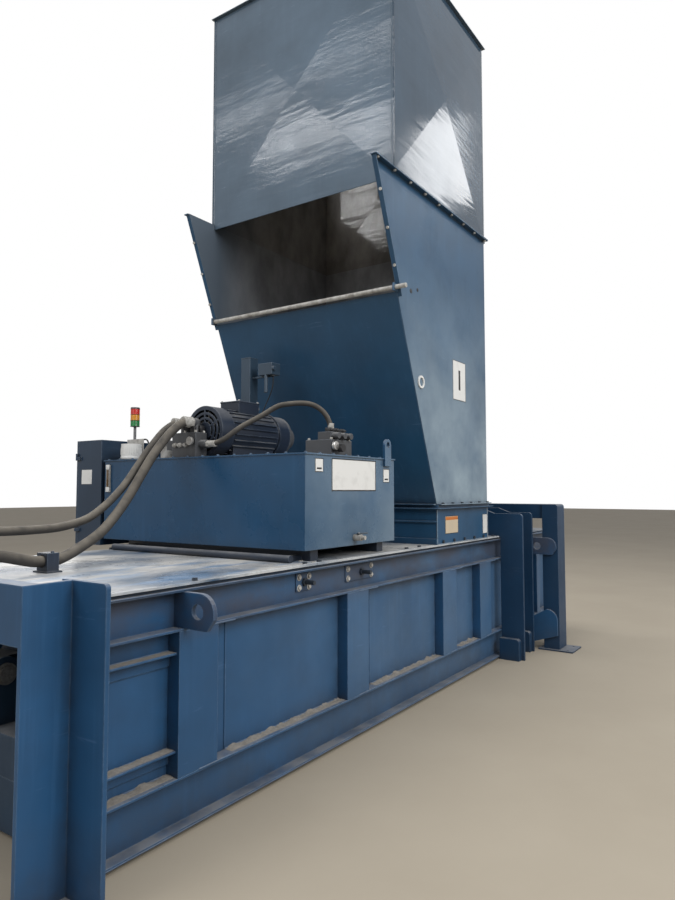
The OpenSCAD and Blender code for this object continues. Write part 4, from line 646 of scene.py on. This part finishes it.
# Working steel: floor of the press box, ram, blades, pins and rods, with bronze shoes under the ram.
# None of it is painted, and it is rubbed bright where it slides.
def rubbed_steel(name, light, dull, rough, grain=(0.04, 1, 1)):
    """Bare metal with stains, scratches along the grain and painted shade in its corners."""
    material, tree, shader, place = new_material(name)
    stain = patches(tree, place, 3.5, 8, 0.36, 0.66)
    scratch = patches(tree, place, 90, 4, 0.40, 0.66, stretch=grain)
    colour = mixed(tree, stain, shade(*light), shade(*dull))
    colour = mixed(tree, times(tree, scratch, 0.4), colour, toned(light, 1.3))
    # Painted shade: darker in narrow corners.
    corner = rise(tree, openness(tree, 0.05), 0.8, 0.3, 0.6)
    colour = mixed(tree, corner, colour, shade(0.035, 0.028, 0.022))
    tree.links.new(colour, shader.inputs["Base Color"])
    shader.inputs["Metallic"].default_value = 0.85
    tree.links.new(rise(tree, stain, -rough, 1.6, 0.8), shader.inputs["Roughness"])
    roughen(tree, shader, 0.25, 0.0006, scratch)
    return material


plate_steel = rubbed_steel("worn plate steel", (0.34, 0.33, 0.31), (0.13, 0.10, 0.08), 0.9)
bright_steel = rubbed_steel("bright steel", (0.55, 0.54, 0.52), (0.30, 0.28, 0.25), 0.5, (1, 0.05, 1))
hard_chrome = rubbed_steel("hard chrome", (0.72, 0.72, 0.72), (0.60, 0.60, 0.60), 0.15, (1, 0.3, 0.3))
shoe_bronze = rubbed_steel("shoe bronze", (0.50, 0.33, 0.14), (0.25, 0.16, 0.08), 0.6)
dress(plate_steel, "floor_plate", "ram_body")
dress(bright_steel, "ram_blade", "shear_blade", "flap_hinge", "base_pin", "rod_pin", "tension_rods",
      "motor_rotor")
dress(hard_chrome, "piston_rod")
dress(shoe_bronze, "ram_shoes")


# Cylinders and pipes: the long ram cylinder with its bolted gland, two short tension cylinders over
# the flap, and the zinc-plated pipes that bring the oil up to the hoses.
machine_paint = worn_paint("dark machine paint", (0.013, 0.022, 0.040), gloss=0.36)
dress(machine_paint, "cylinder_barrel", "tension_cylinders", "hose_clamp")
dress(zinc, "cylinder_pipes", "window_bar", "tank_fittings")


def bolt_steel():
    """Plated bolts, with those below the hopper's own flanges painted over in a dark colour."""
    material = plated_steel("flange bolt steel", shade(0.62, 0.61, 0.58))
    tree = material.node_tree
    shader = tree.nodes["Principled BSDF"]
    bare = shader.inputs["Base Color"].links[0].from_socket
    height = put(tree, "SeparateXYZ", i0=put(tree, "TexCoord").outputs["Object"]).outputs[2]
    painted = mixed(tree, rise(tree, height, 1.70, 1.72), shade(0.022, 0.030, 0.042), bare)
    tree.links.new(painted, shader.inputs["Base Color"])
    return material


dress(bolt_steel(), "bolts")
barrel_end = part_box("cylinder_barrel")[1].x
barrel_z = 0.730
bolt_ring = 0.117
gland = bmesh.new()
for k in range(12):
    turn = 2 * math.pi * (k + 0.5) / 12
    place = Vector((barrel_end, bolt_ring * math.cos(turn), barrel_z + bolt_ring * math.sin(turn)))
    bolt(gland, place, (1, 0, 0), 0.019, 0.012)
piece("gland_bolts", gland, zinc)


# Feed collar and hopper: folded sheet with bolted flanges. The near side is pale towards its foot, with
# dust and a painted reflection, and the inside is grey with grime, darker towards the rear as painted
# shade.
hopper_blue = worn_paint("hopper blue", (0.013, 0.062, 0.130), inner=(0.38, 0.38, 0.39), foot_dust_and_reflection=1.0,
                         stain=0.3)
dress(hopper_blue, "hopper_side_left", "hopper_side_right", "hopper_front", "hopper_back")
dress(worn_paint("collar blue", (0.013, 0.070, 0.152), inner=(0.12, 0.12, 0.125)), "feed_collar")
seams, plugs = bmesh.new(), bmesh.new()
for side in (-1, 1):
    for s in (3665, 4765):
        bead(seams, at(s, side * 960, 1204), at(s, side * 960, 1504), 0.006)
    bead(seams, at(3666, side * 961, 1203), at(4764, side * 961, 1203), 0.006)
bead(seams, at(3664, -958, 1203), at(3664, 958, 1203), 0.006)
piece("collar_welds", seams, hopper_blue)
for s, z, r in ((3230, 3249, 0.015), (3343, 3285, 0.012)):
    plug = [(0, r * 1.35), (0.0015, r * 1.3), (0.002, r), (0.0035, r * 0.9)]
    turned(plugs, at(s, -959.5, z), (0, -1, 0), plug, 20)


def moulded(name, colour, rough=0.45, speck=0.25):
    """Moulded plastic, a little specked, with painted shade in its corners."""
    material, tree, shader, place = new_material(name)
    speckled = mixed(tree, patches(tree, place, 12, 7, 0.42, 0.75, speck), shade(*colour),
                     toned(colour, 0.6, (0.03, 0.03, 0.03)))
    # Painted shade: darker in narrow corners.
    corner = rise(tree, openness(tree, 0.02), 0.8, 0.3, 0.5)
    tree.links.new(mixed(tree, corner, speckled, shade(0.03, 0.028, 0.026)), shader.inputs["Base Color"])
    shader.inputs["Roughness"].default_value = rough
    roughen(tree, shader, 0.1, 0.0004, cloud(tree, place, 400, 3))
    return material


black_plastic = moulded("black plastic", (0.014, 0.014, 0.016))
piece("hopper_plugs", plugs, black_plastic)


# Hood: four cross-broken sheets that stiffen each other, welded at the corners, with a lid of sheet.
# Its paint is cleaner and glossier than the frame's and mirrors lamps as soft streaks. Its sides get a
# darker copy of the blue as painted shade.
hood_finish = {"stain": 0.15, "gloss": 0.10, "runs": 0.15, "worn": 0.4, "inner": (0.34, 0.32, 0.30),
               "waves": 0.13}
hood_blue = worn_paint("hood blue", (0.088, 0.130, 0.178), **hood_finish)
# The hood's sides get a darker copy of its blue as painted shade.
hood_side_painted_shade_blue = worn_paint("hood side blue with painted shade", (0.036, 0.064, 0.098), **hood_finish)
dress(hood_blue, "hood_front", "hood_back", "hood_roof")
dress(hood_side_painted_shade_blue, "hood_left", "hood_right")
seams = bmesh.new()
for side in (-1, 1):
    for s in (2951, 4764):
        bead(seams, at(s, side * 958, 4134), at(s, side * 958, 6118))
piece("hood_seams", seams, hood_blue)


# Power unit: an oil tank welded from plate, on steel skids, with a screwed lid, a level glass and a
# drain tap. Its breather cap is white plastic with moulded ribs.
tank_blue = worn_paint("tank blue", (0.007, 0.056, 0.130), gloss=0.26, stain=0.3, foot_dust_and_reflection=0.5)
dress(tank_blue, "oil_tank")
dress(machine_paint, "tank_skids")
lid_top = 1895
lid = bmesh.new()
for k in range(8):
    for y in (-895, 1070):
        bolt(lid, at(1925 + k * 153, y, lid_top), (0, 0, 1), 0.017, 0.009)
for k in range(1, 13):
    for s in (1912, 3015):
        bolt(lid, at(s, -895 + k * 151, lid_top), (0, 0, 1), 0.017, 0.009)
for s, y in ((2040, 510), (2140, 510), (2040, 610), (2140, 610)):
    bolt(lid, at(s, y, lid_top), (0, 0, 1), 0.017, 0.010)
piece("lid_screws", lid, tank_blue)
glass_box, caps = bmesh.new(), bmesh.new()
slab(glass_box, at(1881, 1019, 1684), at(1884.5, 1041, 1816), 0.001)
for z in (1643, 1819):
    slab(caps, at(1879, 1010, z), at(1886, 1050, z + 38), 0.003)
white_plastic = moulded("white plastic", (0.70, 0.70, 0.68), speck=0.15)
level_glass = moulded("level glass", (0.10, 0.055, 0.02), 0.08)
piece("level_glass", glass_box, level_glass)
piece("level_caps", caps, white_plastic)
dress(white_plastic, "filler_cap")
cap_radius = 0.0775
rib_count = 28
ribs = bmesh.new()
for k in range(rib_count):
    turn = 2 * math.pi * k / rib_count
    outwards = Vector((math.cos(turn), math.sin(turn), 0)) * cap_radius
    swept(ribs, [at(2000, 895, z) + outwards for z in (1932, 1940, 1985, 1992)],
          lambda i: 0.0022 if i in (0, 3) else 0.0034, 6)
skirt = [(0, 0.0785), (0.004, 0.0805), (0.016, 0.0805), (0.019, 0.0785)]
turned(ribs, at(2000, 895, 1903), (0, 0, 1), skirt, 40)
piece("cap_ribs", ribs, white_plastic, "cap")
dress(worn_paint("tap lever paint", (0.030, 0.040, 0.055)), "drain_lever")


# Drive motor: a finned cast frame with a fan cowl, a terminal box with its lid and cable gland, and
# an eye bolt. A black cable runs from the gland down to the tank's lid and over to the cabinet.
motor_paint = worn_paint("motor paint", (0.016, 0.024, 0.042), gloss=0.33, stain=0.5)
dress(motor_paint, "drive_motor")
box_lid, trim, glands = bmesh.new(), bmesh.new(), bmesh.new()
slab(box_lid, at(2305, 30, 2329), at(2545, 230, 2341), 0.004)
slab(box_lid, at(2330, 55, 2340), at(2520, 205, 2345), 0.002)
for s in (2318, 2532):
    for y in (43, 217):
        bolt(trim, at(s, y, 2341), (0, 0, 1), 0.014, 0.008)
eye_bolt_foot = [(0, 0.020), (0.012, 0.020), (0.014, 0.012), (0.030, 0.012)]
turned(trim, at(2620, 135, 2264), (0, 0, 1), eye_bolt_foot, 20)
hoop = []
for k in range(23):
    turn = math.radians(-88 + 16 * k)
    hoop.append(at(2620 + 26 * math.cos(turn), 135, 2316 + 26 * math.sin(turn)))
swept(trim, hoop, 0.008, 10)
box_gland = [(0, 0.020), (0.012, 0.020), (0.013, 0.016), (0.030, 0.015), (0.034, 0.009)]
turned(glands, at(2425, 225, 2296), (0, 1, 0), box_gland, 6)
piece("terminal_lid", box_lid, motor_paint)
piece("motor_trim", trim, zinc)
cables = {
    "motor_cable": (0.014, [
        (2425, 246, 2296), (2425, 300, 2290), (2422, 350, 2255), (2412, 400, 2180), (2400, 450, 2080),
        (2388, 505, 1985), (2375, 575, 1925), (2360, 665, 1904), (2345, 770, 1903), (2330, 880, 1904),
        (2322, 960, 1912), (2318, 1015, 1940), (2316, 1045, 1985), (2316, 1062, 2040),
        (2316, 1082, 2078), (2316, 1116, 2090), (2316, 1146, 2078), (2316, 1152, 2061)]),
    "sensor_cable": (0.009, [
        (2900, 190, 2629), (2900, 190, 2600), (2903, 196, 2550), (2906, 222, 2480), (2906, 268, 2400),
        (2904, 320, 2300), (2902, 355, 2200), (2900, 366, 2100), (2900, 364, 2020), (2894, 356, 1960),
        (2880, 346, 1922), (2852, 344, 1903), (2800, 372, 1900.5), (2745, 440, 1900.5),
        (2690, 560, 1900.5), (2640, 720, 1900.5), (2600, 880, 1900.5), (2570, 975, 1908),
        (2556, 1030, 1945), (2550, 1060, 1998), (2550, 1082, 2052), (2550, 1110, 2081),
        (2550, 1142, 2076), (2550, 1150, 2061)]),
}


def cable_sheath():
    """Black sheath with dust on top."""
    material, tree, shader, place = new_material("cable sheath")
    dust = times(tree, rise(tree, upward(tree), 0.0, 0.9), patches(tree, place, 25, 6, 0.3, 0.6, 0.5))
    coat = mixed(tree, dust, shade(0.012, 0.012, 0.013), shade(0.22, 0.205, 0.185))
    tree.links.new(coat, shader.inputs["Base Color"])
    shader.inputs["Roughness"].default_value = 0.55
    roughen(tree, shader, 0.2, 0.0005, cloud(tree, place, 200, 4))
    return material


sheath = cable_sheath()
for name, (thick, stops) in cables.items():
    path = smoothed([at(*stop) for stop in stops], 5)
    form = bmesh.new()
    swept(form, path, thick / 2, 14)
    cable = piece(name, form, sheath)
    far = bmesh.new()
    far_gland = [(0, thick * 1.3), (0.008, thick * 1.3), (0.009, thick * 0.95), (0.022, thick * 0.9),
                 (0.026, thick * 0.6)]
    turned(far, path[-1] + Vector((0, 0, -0.001)), (0, 0, 1), far_gland, 6)
    gland_piece = piece(name + "_gland", far, black_plastic)
piece("terminal_gland", glands, black_plastic)


# Pump and valves: grey castings and a ported steel block with solenoid coils, screwed together, with
# oil and dust on them. The relief valve's knob turns.
cast_paint = worn_paint("cast grey paint", (0.060, 0.062, 0.066), gloss=0.45, stain=0.8)
dress(cast_paint, "pump", "valve_stack", "main_valve")
dress(black_plastic, "relief_knob")
screws, coils, dials = bmesh.new(), bmesh.new(), bmesh.new()
for s in (1940, 2020):
    for y in (112, 222, 324):
        bolt(screws, at(s, y, 2075), (0, 0, 1), 0.017, 0.016)
for s in (1958, 2002):
    for y in (356, 404):
        bolt(screws, at(s, y, 2025), (0, 0, 1), 0.012, 0.010)
for s in (2292, 2510):
    for y in (-836, -646):
        bolt(screws, at(s, y, 2005), (0, 0, 1), 0.017, 0.014)
for k in range(3):
    s = 2324 + k * 76
    slab(coils, at(s - 17, -812, 2060), at(s + 17, -772, 2090), 0.003)
    socket = [(0, 0.010), (0.012, 0.010), (0.014, 0.007), (0.022, 0.006)]
    turned(coils, at(s, -812, 2074), (0, -1, 0), socket, 12)
for y in (135, 190, 300):
    slab(coils, at(1990, y - 22, 2075), at(2030, y + 22, 2128), 0.004)
slab(coils, at(1934, 118, 2075), at(1952, 160, 2118), 0.003)
dial = [(0, 0.010), (0.012, 0.010), (0.013, 0.030), (0.030, 0.031), (0.033, 0.028)]
turned(dials, at(2290, -851, 1960), (0, -1, 0), dial, 28)
turned(dials, at(1924, 130, 2010), (-1, 0, 0), dial, 28)
port_plug = [(0, 0.018), (0.014, 0.018), (0.015, 0.013), (0.028, 0.012)]
for y in (190, 250, 300):
    turned(screws, at(1924, y, 1985), (-1, 0, 0), port_plug, 6)
flange_ring = 0.078
for k in range(6):
    turn = math.radians(60 * k + 30)
    outwards = Vector((0, flange_ring * math.cos(turn), flange_ring * math.sin(turn)))
    bolt(screws, at(2977, 135, 2094) + outwards, (1, 0, 0), 0.015, 0.010)
piece("valve_screws", screws, zinc)
piece("solenoid_plugs", coils, black_plastic)
piece("pressure_gauges", dials, bright_steel)


# Control cabinet: a folded sheet box on the tank's far side with a hinged door, a turning handle, a
# mushroom stop button and a three-colour stack light on a pole.
cabinet_paint = worn_paint("cabinet paint", (0.010, 0.030, 0.062), gloss=0.34, stain=0.3)
dress(cabinet_paint, "cabinet", "cabinet_door")
dress(black_plastic, "door_handle")
dress(moulded("red plastic", (0.50, 0.015, 0.012), 0.3), "stop_button")
surround = bmesh.new()
turned(surround, at(2580, 1446, 1841), (0, 1, 0), [(0, 0.038), (0.0012, 0.038), (0.0016, 0.036)], 40)
piece("stop_surround", surround, moulded("yellow plastic", (0.62, 0.42, 0.02)), "door")

# Heights in millimetres where the stack light's colour changes, and the colour above each.
lens_feet = (2196, 2246, 2296, 2346)
lens_tints = ((0.012, 0.20, 0.05), (0.62, 0.26, 0.02), (0.55, 0.02, 0.015), (0.10, 0.10, 0.105))


def lamp_finish():
    """Ribbed lenses in three colours between a grey foot and a grey cap."""
    material, tree, shader, place = new_material("lamp plastic")
    height = put(tree, "SeparateXYZ", i0=place).outputs[2]
    colour = shade(0.15, 0.15, 0.155)
    for foot, tint in zip(lens_feet, lens_tints):
        z = foot / 1000
        colour = mixed(tree, rise(tree, height, z - 0.0004, z + 0.0004), colour, shade(*tint))
    grime = patches(tree, place, 22, 6, 0.45, 0.75, 0.35)
    tree.links.new(mixed(tree, grime, colour, shade(0.16, 0.15, 0.14)), shader.inputs["Base Color"])
    shader.inputs["Roughness"].default_value = 0.22
    wave = put(tree, "TexWave", {"bands_direction": "Z"}, Vector=place, Scale=45.0)
    roughen(tree, shader, 0.35, 0.0015, wave.outputs["Fac"])
    return material


dress(lamp_finish(), "stack_light")
bands = bmesh.new()
band = [(0, 0.0385), (0.001, 0.0395), (0.003, 0.0395), (0.004, 0.0385)]
for z in lens_feet:
    turned(bands, at(2250, 1165, z - 2), (0, 0, 1), band, 40)
piece("lamp_bands", bands, black_plastic)


# Sensor post: a square steel tube with a foot plate, screwed to the tank's lid. It holds a level
# sensor in front of the hopper.
dress(worn_paint("sensor post paint", (0.030, 0.055, 0.085), gloss=0.4), "sensor_unit")
fixings = bmesh.new()
for s in (2835, 2965):
    for y in (393, 523):
        bolt(fixings, at(s, y, 1905), (0, 0, 1), 0.019, 0.012)
turned(fixings, at(2900, 190, 2636), (0, 0, -1), [(0, 0.013), (0.006, 0.013), (0.007, 0.009)], 6)
piece("sensor_screws", fixings, zinc)


# Sign plates: enamelled sheet, left blank, with thin dark borders. The collar's plate is cream with an
# orange head, and the hopper's carries a plain dark bar.
def enamel():
    """White enamel, cream on the collar's plate, with grime."""
    material, tree, shader, place = new_material("sign enamel")
    parts = put(tree, "SeparateXYZ", i0=place)
    along, height = parts.outputs[0], parts.outputs[2]
    between = times(tree, rise(tree, along, 0.34, 0.345), rise(tree, along, 0.61, 0.605))
    level = times(tree, rise(tree, height, 1.28, 1.282), rise(tree, height, 1.44, 1.438))
    colour = mixed(tree, times(tree, between, level), shade(0.74, 0.74, 0.72), shade(0.60, 0.50, 0.36))
    grime = patches(tree, place, 9, 8, 0.52, 0.85, 0.45)
    colour = mixed(tree, grime, colour, shade(0.36, 0.35, 0.33))
    tree.links.new(colour, shader.inputs["Base Color"])
    shader.inputs["Roughness"].default_value = 0.35
    roughen(tree, shader, 0.05, 0.0005, cloud(tree, place, 60, 4))
    return material


dress(enamel(), "sign_plates")
tank_sign, feed_sign = -911.5, -961.5
borders, bars, heads = bmesh.new(), bmesh.new(), bmesh.new()
for s, y, z, width, height, line in (
        (2191, tank_sign, 1651, 563, 219, 7), (2004, tank_sign, 1775, 89, 88, 4),
        (2863, tank_sign, 1715, 89, 100, 4), (4006, feed_sign, 2466, 271, 356, 4),
        (4646, feed_sign, 1244, 113, 186, 4), (3822, feed_sign, 1283, 260, 152, 4)):
    for s0, s1, z0, z1 in ((s, s + width, z, z + line), (s, s + width, z + height - line, z + height),
                           (s, s + line, z, z + height), (s + width - line, s + width, z, z + height)):
        slab(borders, at(s0, y, z0), at(s1, y - 1.2, z1), 0.0003)
for s0, s1, y, z0, z1 in ((2022, 2075, tank_sign, 1792, 1804), (2882, 2934, tank_sign, 1732, 1744),
                          (4125, 4162, feed_sign, 2560, 2740)):
    slab(bars, at(s0, y, z0), at(s1, y - 1.1, z1), 0.0003)
slab(heads, at(3830, feed_sign, 1400), at(4074, feed_sign - 1.1, 1428), 0.0003)
piece("sign_borders", borders, black_plastic)
piece("sign_bars", bars, black_plastic)
piece("sign_head", heads, moulded("orange print", (0.55, 0.17, 0.03)))
